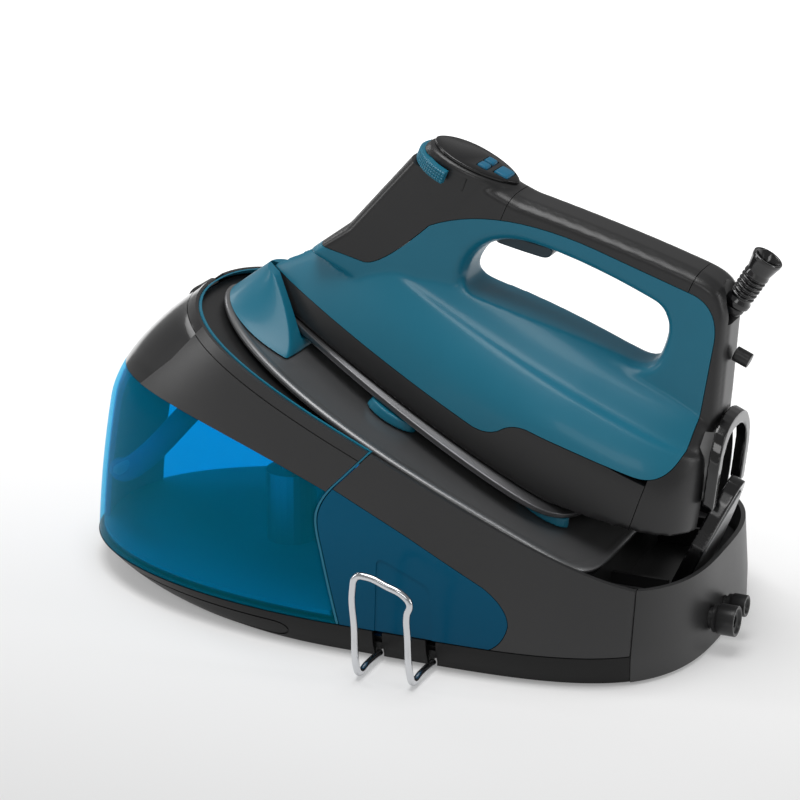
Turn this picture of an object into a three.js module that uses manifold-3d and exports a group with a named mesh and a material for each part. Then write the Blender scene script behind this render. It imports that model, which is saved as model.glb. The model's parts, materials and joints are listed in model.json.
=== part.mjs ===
// Steam generator iron: a base with a slide-out water tank and a hand iron resting on its sloping deck.
// Millimetres, +Z up. The toe points along -X, the hose end along +X, and Y = 0 is the middle.
// The iron, the rest plate and the deck are drawn in a frame of their own, tilted up at the toe:
// X runs along the soleplate, Z is square to it and Z = 0 is the underside of the soleplate.
import * as THREE from 'three';
import { mergeVertices } from 'three/addons/utils/BufferGeometryUtils.js';
import Module from 'manifold-3d';

const wasm = await Module();
wasm.setup();

// Driving dimensions.
const deckTilt = THREE.MathUtils.degToRad(23);
const deckHeight = 126; // height of the tilted frame's origin
const wall = 2.5;
const clearance = 0.4; // gap between parts that touch
const baseNoseReach = 199;
const baseTailReach = 195;
const baseHalfWidth = 116;
const baseLean = 0.19; // how fast the side walls lean in with height
const sealWidth = 1.4;
const sealInset = 3.2;
const trayBottom = 2;
const trayTop = 17.6;
const troughFloor = 30;
const bodyTop = 182;
const rimHeight = 120.2; // the top rim of the base is one sloping plane
const rimSlope = 0.4;
const rearRimHeight = 47;
const bulkheadX = 27;
const rearSeam = 168; // where the rear housing starts
const soleToe = -111;
const soleRear = 134;
const soleHalfWidth = 68;
const soleThickness = 4;
const handleHalfWidth = 17.5;
const podTop = 138;
const plateTop = -6; // rest plate, in the tilted frame
const deckTop = -12.5;
const dialCentre = -22.5;
const dialOuter = 26.4;
const dialInner = 21.4;
const dialBottom = 126;
const dialTop = 133.4;
const podButtons = [
  { name: 'program_button', x: -10, y: -5, length: 6.5, width: 8 },
  { name: 'steam_button', x: -10, y: 5, length: 6.5, width: 8 },
  { name: 'power_button', x: 1, y: 0, length: 9, width: 13 },
];
const hosePivot = [150, 0, 138];
const hoseLean = THREE.MathUtils.degToRad(8);
const liftAngle = THREE.MathUtils.degToRad(72); // the iron leaves its rest along this slope
const hookWire = 4;
const hookLeft = 29;
const hookRight = 61;
const hookOut = -143;
const hookTop = 62;
const hookFootHeight = 4;
const hookTravel = 22;
const glandHeight = 20;
const glands = [
  { name: 'cord_gland', y: -27, radius: 8.8, neck: 6, bore: 3.6, start: 195.4, end: 208.5 },
  { name: 'hose_gland', y: -4, radius: 6.3, neck: 4, bore: 2.4, start: 196, end: 207 },
];
const chamberTop = 15;
const boilerAt = [73, 20];
const boilerRadius = 36;
const filterAt = [-70, -18];

const colours = {
  charcoal: [0x2b2c2e, 0.55, 0.0],
  black: [0x141516, 0.5, 0.0],
  glossBlack: [0x0c0c0d, 0.18, 0.0],
  teal: [0x1f5f78, 0.5, 0.0],
  clearBlue: [0x0a5a86, 0.12, 0.0],
  darkBlue: [0x083f5c, 0.15, 0.0],
  plateGrey: [0x5a5d60, 0.4, 0.7],
  steel: [0xc4c6c8, 0.22, 1.0],
  aluminium: [0xa2a5a8, 0.45, 0.9],
  brass: [0xb08a45, 0.35, 1.0],
  board: [0x1f5a34, 0.6, 0.0],
  rubber: [0x1a1a1a, 0.85, 0.0],
};

const part = new THREE.Group();
const tilted = new THREE.Group();
tilted.position.z = deckHeight;
tilted.rotation.y = deckTilt;
part.add(tilted);

// Small tools.
function toSolid(geometry) {
  let bare = geometry.clone();
  bare.deleteAttribute('normal');
  bare.deleteAttribute('uv');
  bare = mergeVertices(bare, 1e-3);
  const triVerts = Uint32Array.from(bare.index.array);
  return new wasm.Manifold(new wasm.Mesh({
    numProp: 3,
    vertProperties: new Float32Array(bare.attributes.position.array),
    triVerts,
  }));
}

function toGeometry(solid) {
  const mesh = solid.getMesh();
  const geometry = new THREE.BufferGeometry();
  geometry.setAttribute('position', new THREE.BufferAttribute(new Float32Array(mesh.vertProperties), 3));
  geometry.setIndex(new THREE.BufferAttribute(new Uint32Array(mesh.triVerts), 1));
  geometry.computeVertexNormals();
  return geometry;
}

function addPart(name, solid, colour, parent = part) {
  const [color, roughness, metalness] = colours[colour];
  const geometry = solid.isBufferGeometry ? solid : toGeometry(solid);
  const mesh = new THREE.Mesh(geometry, new THREE.MeshStandardMaterial({ color, roughness, metalness }));
  mesh.name = name;
  parent.add(mesh);
  return mesh;
}

function box(x0, x1, y0, y1, z0, z1) {
  const geometry = new THREE.BoxGeometry(x1 - x0, y1 - y0, z1 - z0);
  geometry.translate((x0 + x1) / 2, (y0 + y1) / 2, (z0 + z1) / 2);
  return toSolid(geometry);
}

// A cylinder along an axis named 'x', 'y' or 'z', from one end to the other.
function rod(axis, from, to, radius, centre, sides = 24, endRadius = radius) {
  const geometry = new THREE.CylinderGeometry(endRadius, radius, to - from, sides);
  geometry.translate(0, (from + to) / 2, 0);
  if (axis === 'x') {
    geometry.rotateZ(-Math.PI / 2);
    geometry.translate(0, centre[0], centre[1]);
  } else if (axis === 'z') {
    geometry.rotateX(Math.PI / 2);
    geometry.translate(centre[0], centre[1], 0);
  } else {
    geometry.translate(centre[0], 0, centre[1]);
  }
  return toSolid(geometry);
}

function settle(value) {
  return Math.abs(value) < 1e-9 ? 0 : value;
}

// A closed body of level rings, made by moving the points of a cylinder.
// ringAt(height) gives the ring's front, rear, half width and corner powers.
function stack(bottom, top, rings, points, ringAt) {
  const geometry = new THREE.CylinderGeometry(1, 1, 1, points, rings);
  geometry.rotateX(Math.PI / 2);
  const position = geometry.attributes.position;
  for (let i = 0; i < position.count; i += 1) {
    const height = bottom + (top - bottom) * (position.getZ(i) + 0.5);
    const ring = ringAt(height);
    const reach = Math.hypot(position.getX(i), position.getY(i));
    const angle = Math.atan2(position.getY(i), position.getX(i));
    const along = settle(Math.cos(angle));
    const across = settle(Math.sin(angle));
    const front = along < 0;
    const length = front ? ring.wide - ring.front : ring.rear - ring.wide;
    const lengthPower = 2 / (front ? ring.nosePower : ring.tailPower);
    const widthPower = 2 / (front ? ring.noseWidthPower : ring.tailWidthPower);
    const x = ring.wide + reach * Math.sign(along) * length * Math.abs(along) ** lengthPower;
    const y = reach * Math.sign(across) * ring.halfWidth * Math.abs(across) ** widthPower;
    position.setXYZ(i, x, y, height);
  }
  return toSolid(geometry);
}

// A prism across Y from a side outline of [x, z] points.
function sidePrism(outline, halfWidth, curveSegments = 8) {
  const shape = outline instanceof THREE.Shape ? outline
    : new THREE.Shape(outline.map(([x, z]) => new THREE.Vector2(x, z)));
  const settings = { depth: 2 * halfWidth, bevelEnabled: false, curveSegments };
  const geometry = new THREE.ExtrudeGeometry(shape, settings);
  geometry.rotateX(Math.PI / 2);
  geometry.translate(0, halfWidth, 0);
  return toSolid(geometry);
}

function tube(points, radius, sides, steps) {
  const section = new THREE.Shape();
  section.absarc(0, 0, radius, 0, 2 * Math.PI, false);
  const curve = new THREE.CatmullRomCurve3(points.map((p) => new THREE.Vector3(...p)), false, 'centripetal');
  const geometry = new THREE.ExtrudeGeometry(section, {
    steps, curveSegments: sides / 2, extrudePath: curve, bevelEnabled: false,
  });
  return toSolid(geometry);
}

function tiltedToWorld(solid) {
  return solid.rotate([0, THREE.MathUtils.radToDeg(deckTilt), 0]).translate([0, 0, deckHeight]);
}

function worldToTilted(solid) {
  return solid.translate([0, 0, -deckHeight]).rotate([0, -THREE.MathUtils.radToDeg(deckTilt), 0]);
}

// The base's outside form.
function baseRing(height, inset) {
  const noseDrop = 37 * (Math.max(0, height - 100) / 64) ** 1.75;
  const nose = baseNoseReach - 9 * (height / 100) ** 2 - noseDrop - inset;
  const tail = baseTailReach - 0.05 * Math.max(0, height - 20) - inset;
  const halfWidth = baseHalfWidth - baseLean * Math.max(0, height - 15) - inset;
  return {
    front: -nose, rear: tail, wide: 0, halfWidth,
    nosePower: 2.05, noseWidthPower: 2.15, tailPower: 4.4, tailWidthPower: 3.1,
  };
}

function baseForm(bottom, top, inset, rings = 8, points = 52) {
  return stack(bottom, top, rings, points, (height) => baseRing(height, inset));
}

const rimAt = (x) => rimHeight - rimSlope * x;
const far = 260;
const rimRear = (rimHeight - rearRimHeight) / rimSlope;
const belowRim = sidePrism([
  [-far, -5], [far, -5], [far, rearRimHeight], [rimRear, rearRimHeight], [-far, rimAt(-far)],
], far);

// The split between the tank and the body, seen from the side.
const splitCurve = new THREE.SplineCurve([
  [7, trayTop - 4], [-1, 36], [-7, 54], [-12, 70], [-12, 79], [-7, 89], [4, 101], [19, 117], [26, 125],
].map(([x, z]) => new THREE.Vector2(x, z))).getPoints(16);
function aheadOfSplit(shift) {
  const points = splitCurve.map((p) => [p.x - shift, p.y]);
  return sidePrism([[-far, -5], [points[0][0], -5], ...points, [points.at(-1)[0], 200], [-far, 200]], far);
}
function behindSplit(shift) {
  const points = splitCurve.map((p) => [p.x + shift, p.y]);
  return sidePrism([...points, [points.at(-1)[0], 200], [far, 200], [far, -5], [points[0][0], -5]], far);
}

// The base.
function trayRing(height, inset) {
  const lift = Math.min(1, (height - trayBottom) / (trayTop - trayBottom));
  const ring = baseRing(height, inset);
  ring.front = -(150 + 49 * Math.sqrt(Math.max(0, lift)) - inset);
  ring.halfWidth = baseHalfWidth - 4 * (1 - lift) ** 2 - inset;
  return ring;
}

function addTray() {
  const outside = stack(trayBottom, trayTop, 4, 48, (height) => trayRing(height, 0));
  const inside = stack(trayBottom + wall, trayTop + 2, 3, 48, (height) => trayRing(height - wall, wall));
  let tray = outside.subtract(inside);
  for (const x of [hookLeft, hookRight]) {
    tray = tray.subtract(box(x - 3, x + 3, -130, -111.8, 0.5, trayTop + 1));
    tray = tray.subtract(rod('y', -120, -108 + hookTravel, 2.4, [x, hookFootHeight], 12));
  }
  for (const gland of glands) {
    tray = tray.subtract(rod('x', 150, 230, gland.neck + clearance, [gland.y, glandHeight], 20));
  }
  addPart('bottom_tray', tray, 'black');
  const footX = 120;
  const footY = 72;
  for (const [end, x] of [['front', -footX + 20], ['rear', footX + 20]]) {
    for (const [side, y] of [['near', -footY], ['far', footY]]) {
      addPart(`foot_${end}_${side}`, rod('z', 0, trayBottom - 0.3, 9, [x, y], 20), 'rubber');
    }
  }
}

// Outline of the blue side window, seen from the side.
function windowOutline(grow) {
  const shape = new THREE.Shape();
  shape.moveTo(-40, trayTop - 4);
  shape.lineTo(84, 15 - grow);
  shape.quadraticCurveTo(102 + grow, 17 - grow, 104 + grow, 32);
  shape.quadraticCurveTo(103 + grow, 42 + grow, 88, 51 + grow);
  shape.lineTo(40, 73 + grow);
  shape.lineTo(-6, 92.5 + grow);
  shape.lineTo(-40, 108 + grow);
  return shape;
}

function addBody() {
  const shell = baseForm(trayTop + clearance, bodyTop, 0)
    .subtract(baseForm(trayTop - 1, bodyTop + 1, wall));
  const aheadOfRear = box(-far, rearSeam - clearance, -far, far, -5, 200);
  const windows = sidePrism(windowOutline(clearance), far, 6)
    .subtract(box(-far, far, -60, 60, -5, 200));
  let body = shell.intersect(belowRim).intersect(behindSplit(clearance));
  body = body.intersect(aheadOfRear).subtract(windows);
  const bulkhead = baseForm(trayTop + clearance, bodyTop, 2 + clearance)
    .intersect(box(bulkheadX, bulkheadX + wall, -far, far, -5, 96.8));
  const rearRib = baseForm(trayTop + clearance, bodyTop, wall / 2)
    .intersect(box(rearSeam - 4, rearSeam - 1.5, -far, far, trayTop, 23));
  body = body.add(bulkhead).add(rearRib);
  addPart('base_body', body, 'charcoal');

  const rearInset = 1.2;
  const rear = baseForm(trayTop + clearance, bodyTop, rearInset)
    .subtract(baseForm(trayTop - 1, bodyTop + 1, rearInset + wall));
  let housing = rear.intersect(belowRim).intersect(box(rearSeam, far, -far, far, -5, 200));
  for (const gland of glands) {
    housing = housing.subtract(rod('x', 150, 230, gland.neck + clearance, [gland.y, glandHeight], 20));
  }
  addPart('rear_housing', housing, 'charcoal');

  for (const [name, side] of [['side_window_near', -1], ['side_window_far', 1]]) {
    const half = side < 0 ? box(-far, far, -far, -60, -5, 200) : box(-far, far, 60, far, -5, 200);
    const pane = baseForm(trayTop + clearance, bodyTop, 0).subtract(baseForm(trayTop - 1, bodyTop + 1, 2))
      .intersect(sidePrism(windowOutline(0), far, 6)).intersect(half).intersect(behindSplit(clearance));
    addPart(name, pane, 'darkBlue');
  }
}

function addGlands() {
  for (const { name, y, radius, neck, bore, start, end } of glands) {
    const sleeve = rod('x', start, end, radius, [y, glandHeight], 24)
      .add(rod('x', start - 7, start + 1, neck, [y, glandHeight], 20));
    addPart(name, sleeve.subtract(rod('x', 150, 240, bore, [y, glandHeight], 16)), 'black');
  }
}

function addDeck() {
  const slab = tiltedToWorld(box(-133, 156, -110, 110, deckTop - wall, deckTop));
  const stepDown = box(136.5, 139, -110, 110, troughFloor, 53);
  const trough = box(136.5, 215, -110, 110, troughFloor, troughFloor + wall);
  const fit = baseForm(20, bodyTop, sealInset + sealWidth + clearance);
  let deck = slab.add(stepDown).add(trough).intersect(fit);
  const ribs = [-58, -40, 40, 58].map((y) => box(138, 172, y - 1.2, y + 1.2, troughFloor + 1, 44));
  for (const rib of ribs) {
    deck = deck.add(rib);
  }
  addPart('deck', deck, 'black');
}

function plateRing(inset) {
  return {
    front: -124 + inset, rear: 158.5 - inset, wide: 96, halfWidth: 91 - inset,
    nosePower: 2.5, noseWidthPower: 1.7, tailPower: 7, tailWidthPower: 7,
  };
}

function addRestPlate() {
  const rolled = stack(plateTop - 4.4, plateTop, 4, 48, (height) => {
    const down = (plateTop - height) / 4.4;
    return plateRing(2.4 * (1 - Math.sqrt(Math.max(0, down))) ** 1.5);
  });
  const under = stack(plateTop - 6, plateTop - 1.8, 1, 48, () => plateRing(2.6));
  addPart('rest_plate', rolled.subtract(under), 'plateGrey', tilted);
  const padPlaces = [['front', 9, 44], ['rear', 112, 50]];
  for (const [end, x, y] of padPlaces) {
    for (const [side, sign] of [['near', -1], ['far', 1]]) {
      const pad = new THREE.CylinderGeometry(8, 9, 5.4, 16);
      pad.rotateX(Math.PI / 2);
      pad.scale(1.9, 1, 1);
      pad.rotateZ(sign * 0.14);
      pad.translate(x, sign * y, plateTop + 3);
      addPart(`rest_pad_${end}_${side}`, pad, 'teal', tilted);
    }
  }
  for (const [side, y] of [['near', -30], ['far', 30]]) {
    const post = rod('z', deckTop + 0.3, plateTop - 2.1, 5, [60, y], 16);
    addPart(`plate_post_${side}`, post, 'black', tilted);
  }
}

// The hood that the iron's toe slides into; it opens along the slope that the iron lifts on.
function addToeHolder() {
  const top = 20;
  const bottom = plateTop + 0.3;
  const outside = stack(bottom, top, 5, 36, (height) => {
    const rise = (height - bottom) / (top - bottom);
    return {
      front: THREE.MathUtils.lerp(-121.5, -106.5, rise), rear: THREE.MathUtils.lerp(-60, -97, rise ** 1.3),
      wide: THREE.MathUtils.lerp(-64, -98, rise ** 1.3),
      halfWidth: THREE.MathUtils.lerp(47, 13.5, rise ** 0.8),
      nosePower: 1.9, noseWidthPower: 1.7, tailPower: 8, tailWidthPower: 8,
    };
  });
  const pocket = stack(-2, top + 10, 4, 40, (height) => {
    const shift = Math.max(0, height - 4) / Math.tan(liftAngle);
    return soleRing(-1.4, shift);
  });
  const toe = stack(3, top + 12, 4, 40, (height) => lowerRing(height, -1.2));
  addPart('toe_holder', outside.subtract(pocket).subtract(toe), 'teal', tilted);
}

function addHeelStop() {
  const outline = new THREE.Shape();
  outline.moveTo(-24, -26);
  outline.lineTo(24, -26);
  outline.bezierCurveTo(26, 8, 16, 36, 5, 46);
  outline.quadraticCurveTo(0, 49, -5, 46);
  outline.bezierCurveTo(-16, 36, -26, 8, -24, -26);
  const face = new THREE.Shape();
  face.moveTo(-20.5, -20);
  face.lineTo(20.5, -20);
  face.bezierCurveTo(22, 8, 13, 33, 0, 43);
  face.bezierCurveTo(-13, 33, -22, 8, -20.5, -20);
  const floor = worldToTilted(box(120, 230, -60, 60, 0, troughFloor + wall + 0.3));
  const frame = uprightPlate(outline, 190, 198.4).subtract(uprightPlate(face, 196.2, 199)).subtract(floor);
  addPart('heel_stop', frame, 'black', tilted);
  const cover = uprightPlate(face, 196.6, 199.2).scale([1, 0.98, 0.98]);
  addPart('heel_stop_face', cover.subtract(floor), 'plateGrey', tilted);
}

// The tank.
const coverLine = (x) => 122 - 33 * (Math.max(0, x + 185) / 179) ** 2;
function coverEdge(shift) {
  const points = [];
  for (let x = -220; x <= 40; x += 10) {
    points.push([x, coverLine(x) + shift]);
  }
  return points;
}

// The thin seal between the tank and the body: down the split line and round the cover's rim.
function addSeal() {
  const band = aheadOfSplit(clearance).subtract(aheadOfSplit(clearance + sealWidth));
  const skin = baseForm(trayTop + clearance, bodyTop, 0.2)
    .subtract(baseForm(trayTop - 1, bodyTop + 1, sealInset + sealWidth));
  const down = skin.intersect(band).intersect(belowRim);
  const lip = baseForm(60, bodyTop, sealInset).subtract(baseForm(50, bodyTop + 1, sealInset + sealWidth));
  const nearRim = sidePrism([[-far, rimAt(-far) - 3.2], [far, rimAt(far) - 3.2], [far, rimAt(far) + 0.5],
    [-far, rimAt(-far) + 0.5]], far);
  const around = lip.intersect(nearRim).intersect(aheadOfSplit(clearance));
  addPart('tank_seal', down.add(around), 'teal');
}

function addTank() {
  const under = (shift) => sidePrism([...coverEdge(shift), [40, -5], [-220, -5]], far);
  const over = (shift) => sidePrism([...coverEdge(shift), [40, 220], [-220, 220]], far);
  const ahead = aheadOfSplit(sealWidth + 2 * clearance);
  const bulk = baseForm(trayTop + clearance, bodyTop, 0).intersect(ahead);
  const hollow = baseForm(trayTop + clearance + wall, bodyTop + 1, wall)
    .intersect(aheadOfSplit(sealWidth + 2 * clearance + wall));
  addPart('water_tank', bulk.subtract(hollow).intersect(under(-clearance / 2)), 'clearBlue');

  const lidTop = deckTop - wall - 2.4;
  const lid = tiltedToWorld(box(-160, 30, -110, 110, lidTop - 2, lidTop)).intersect(ahead)
    .intersect(baseForm(20, bodyTop, wall / 2)).intersect(over(2));
  const shell = bulk.subtract(hollow).intersect(belowRim).intersect(over(clearance / 2));
  let cover = shell.add(lid);
  cover = cover.subtract(tiltedToWorld(box(-150, 60, -110, 110, lidTop, 60))
    .intersect(baseForm(20, bodyTop + 1, wall)));
  const flapSpot = (grow) => box(-174 - grow, -148 + grow, -17 - grow, 17 + grow, 100, 200);
  const latchSpot = box(-144, -120, -9.4, 9.4, 158, 180);
  addPart('filler_flap', cover.intersect(flapSpot(0)), 'glossBlack');
  addPart('tank_cover', cover.subtract(flapSpot(clearance)).subtract(latchSpot), 'charcoal');
  const latch = new THREE.Shape();
  latch.moveTo(-139, 159);
  latch.lineTo(-131, 159);
  latch.lineTo(-129, 166);
  latch.quadraticCurveTo(-130, 169, -134, 168);
  latch.quadraticCurveTo(-140, 165, -141, 160);
  addPart('tank_latch', sidePrism(latch, 8.6, 5), 'glossBlack');

  const cartridge = rod('z', trayTop + wall + 0.9, 66, 15, filterAt, 24);
  addPart('water_filter', cartridge.add(rod('z', 60, 78, 6, filterAt, 16)), 'aluminium');
}

// The wire hook.
function addHook() {
  const inner = -112;
  const low = hookFootHeight;
  const path = [
    [hookLeft, inner, low], [hookLeft, -130, low],
    [hookLeft, hookOut + 3, low - 0.5], [hookLeft, hookOut, low + 3],
    [hookLeft - 1.3, hookOut, hookTop / 2], [hookLeft - 2.2, hookOut, hookTop - 8],
    [hookLeft, hookOut, hookTop - 1],
    [hookLeft + 6, hookOut, hookTop], [hookLeft + 18, hookOut, hookTop - 3.5],
    [hookRight - 4, hookOut, hookTop - 7.5], [hookRight - 0.6, hookOut, hookTop - 12],
    [hookRight - 2.2, hookOut, hookTop - 18], [hookRight - 1.8, hookOut, hookTop / 2],
    [hookRight, hookOut, low + 3],
    [hookRight, hookOut + 3, low - 0.5], [hookRight, -130, low], [hookRight, inner, low],
  ];
  addPart('cord_hook', tube(path, hookWire / 2, 8, 46), 'steel');
  for (const [side, x] of [['left', hookLeft], ['right', hookRight]]) {
    const block = box(x - 5, x + 5, -108.6, -104.6 + hookTravel, trayBottom + wall + 0.3, 12);
    const channel = box(x - 2.5, x + 2.5, -120, -106.6 + hookTravel, 0, 7);
    addPart(`hook_guide_${side}`, block.subtract(channel), 'black');
  }
}

// What the base holds inside.
function addInsides() {
  const floor = trayBottom + wall + 0.3;
  const boiler = rod('z', floor, 50, boilerRadius, boilerAt, 32)
    .add(rod('z', 49, 56, boilerRadius - 6, boilerAt, 32));
  addPart('boiler', boiler, 'steel');
  const heater = rod('z', 20, 27, boilerRadius + 4, boilerAt, 32)
    .subtract(rod('z', 19, 28, boilerRadius + clearance, boilerAt, 32));
  addPart('boiler_heater_ring', heater, 'aluminium');
  const pumpBarrel = rod('x', 30, 84, 15, [-52, floor + 15.2], 24);
  addPart('pump', pumpBarrel.add(box(40, 74, -66, -38, floor, floor + 8)), 'black');
  const valveStem = rod('z', 25, 44, 8, [124, -5], 20);
  addPart('steam_valve', box(114, 134, -14, 4, floor, 26).add(valveStem), 'brass');
  addPart('control_board', box(116, 170, 20, 74, 12, 13.6), 'board');
  addPart('tank_coupling', rod('z', floor, trayTop - 0.4, 10, [-60, 30], 20), 'black');
}

// The iron, in the tilted frame.
function soleRing(inset, shift = 0) {
  return {
    front: soleToe + inset + shift, rear: soleRear - inset + shift, wide: 98 + shift,
    halfWidth: soleHalfWidth - inset,
    nosePower: 1.45, noseWidthPower: 1.12, tailPower: 3.2, tailWidthPower: 3.2,
  };
}

function addSole() {
  let sole = stack(0, soleThickness, 4, 48, (height) => soleRing(1.6 * (1 - Math.min(1, height / 1.6)) ** 2));
  const holePlaces = [[-84, 0], [-66, 7], [-46, 14], [-24, 21], [0, 28], [26, 34], [52, 38], [80, 40]];
  for (const [x, y] of holePlaces) {
    for (const side of y === 0 ? [1] : [-1, 1]) {
      sole = sole.subtract(rod('z', -1, 1.6, 1.6, [x, side * y], 6));
    }
  }
  addPart('soleplate', sole, 'aluminium', tilted);
  const chamber = stack(soleThickness + 0.3, chamberTop, 1, 40, () => soleRing(19))
    .subtract(box(-200, -84, -90, 90, 0, 30));
  const boss = rod('z', chamberTop - 1, chamberTop + 5, 14, [20, 0], 20);
  addPart('steam_chamber', chamber.add(boss), 'aluminium', tilted);
  addPart('sensor_board', box(30, 80, -18, 18, 34, 35.6), 'board', tilted);
}

// Side lines of the iron's outside form, as [height, x].
const noseLine = new THREE.SplineCurve([
  [0, -110], [10, -108], [20, -103], [45, -83], [71, -68], [100, -58], [133, -47],
].map(([z, x]) => new THREE.Vector2(z, x)));
const heelLine = new THREE.SplineCurve([
  [0, 194], [18, 191], [59, 179], [90, 168], [110, 160], [135, 152], [150, 147],
].map(([z, x]) => new THREE.Vector2(z, x)));
function lineAt(curve, height) {
  const { x: first } = curve.points[0];
  const { x: last } = curve.points.at(-1);
  let low = 0;
  let high = 1;
  const wanted = THREE.MathUtils.clamp(height, first, last);
  for (let i = 0; i < 24; i += 1) {
    const middle = (low + high) / 2;
    if (curve.getPoint(middle).x < wanted) {
      low = middle;
    } else {
      high = middle;
    }
  }
  return curve.getPoint(low).y;
}

// Half width of the lower body: upright flanks, then a shoulder that closes over the crown.
function bodyHalfWidth(height) {
  const shoulder = THREE.MathUtils.clamp((height - 30) / 54, 0, 1);
  return 59.5 - 0.03 * height - 50 * shoulder ** 2.3;
}

function lowerRing(height, inset) {
  return {
    front: lineAt(noseLine, height) + inset, rear: lineAt(heelLine, height) - inset, wide: 100,
    halfWidth: bodyHalfWidth(height) - inset,
    nosePower: 1.5, noseWidthPower: 1.15, tailPower: 4.5, tailWidthPower: 3.6,
  };
}

function handleOutline() {
  const shape = new THREE.Shape();
  shape.moveTo(-84, 44);
  shape.lineTo(-68, 71);
  shape.lineTo(-49, 127);
  shape.quadraticCurveTo(-46, 135, -38, podTop - 1);
  shape.lineTo(10, podTop - 2);
  shape.quadraticCurveTo(16, 136, 20, 136);
  shape.quadraticCurveTo(80, 145.5, 126, 149);
  shape.quadraticCurveTo(141, 150, 146, 143);
  shape.lineTo(152, 135);
  shape.lineTo(168, 90);
  shape.lineTo(178, 60);
  shape.lineTo(60, 40);
  const hole = new THREE.Path();
  hole.moveTo(6, 86);
  hole.quadraticCurveTo(6, 72, 18, 73);
  hole.quadraticCurveTo(70, 81, 112, 83);
  hole.quadraticCurveTo(126, 84, 126, 96);
  hole.quadraticCurveTo(126, 119, 112, 121);
  hole.quadraticCurveTo(70, 122, 38, 116);
  hole.quadraticCurveTo(8, 110, 6, 86);
  shape.holes.push(hole);
  return shape;
}

function ironForm() {
  const bevel = 8;
  const frame = new THREE.ExtrudeGeometry(handleOutline(), {
    depth: 2 * (handleHalfWidth - bevel), bevelEnabled: true, bevelThickness: bevel, bevelSize: 4,
    bevelOffset: -4,
    bevelSegments: 2, curveSegments: 5,
  });
  frame.rotateX(Math.PI / 2);
  frame.translate(0, handleHalfWidth - bevel, 0);
  const body = stack(soleThickness + clearance, 84, 9, 44, (height) => lowerRing(height, 0));
  const window = sidePrism(windowThrough(), 40, 5);
  const pod = stack(96, podTop, 4, 32, (height) => {
    const rise = (height - 96) / (podTop - 96);
    return {
      front: THREE.MathUtils.lerp(-58, -45, rise), rear: THREE.MathUtils.lerp(4, 13, rise), wide: -20,
      halfWidth: THREE.MathUtils.lerp(15, 20.5, rise ** 0.7),
      nosePower: 2.2, noseWidthPower: 2, tailPower: 2.2, tailWidthPower: 1.8,
    };
  });
  const heelUnder = sidePrism([[112, -10], [112, 4.6], [200, 21.5], [230, 21.5], [230, -10]], 90);
  return body.subtract(window).add(toSolid(frame)).add(pod).subtract(heelUnder);
}

function windowThrough() {
  const shape = new THREE.Shape();
  shape.moveTo(6, 86);
  shape.quadraticCurveTo(6, 72, 18, 73);
  shape.quadraticCurveTo(70, 81, 112, 83);
  shape.quadraticCurveTo(126, 84, 126, 96);
  shape.lineTo(6, 96);
  return shape;
}

// Side outline of the teal shell; grow moves its edge outwards for the parts around it.
function shellOutline() {
  const shape = new THREE.Shape();
  shape.moveTo(-130, 19);
  shape.lineTo(56, 20);
  shape.quadraticCurveTo(66, 21, 71, 27);
  shape.quadraticCurveTo(76, 35, 86, 36.5);
  shape.lineTo(150, 43);
  shape.quadraticCurveTo(167, 45, 166, 62);
  shape.lineTo(152, 116);
  shape.quadraticCurveTo(147, 138, 130, 138);
  shape.lineTo(80, 134);
  shape.quadraticCurveTo(10, 130, -22, 97);
  shape.quadraticCurveTo(-40, 58, -50, 57);
  shape.lineTo(-92, 50);
  return shape;
}

function offsetPrism(shape, offset) {
  const geometry = new THREE.ExtrudeGeometry(shape, {
    depth: 180, bevelEnabled: true, bevelThickness: 0.01, bevelSize: offset, bevelSegments: 1, curveSegments: 6,
  });
  geometry.rotateX(Math.PI / 2);
  geometry.translate(0, 90, 0);
  return toSolid(geometry);
}

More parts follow.
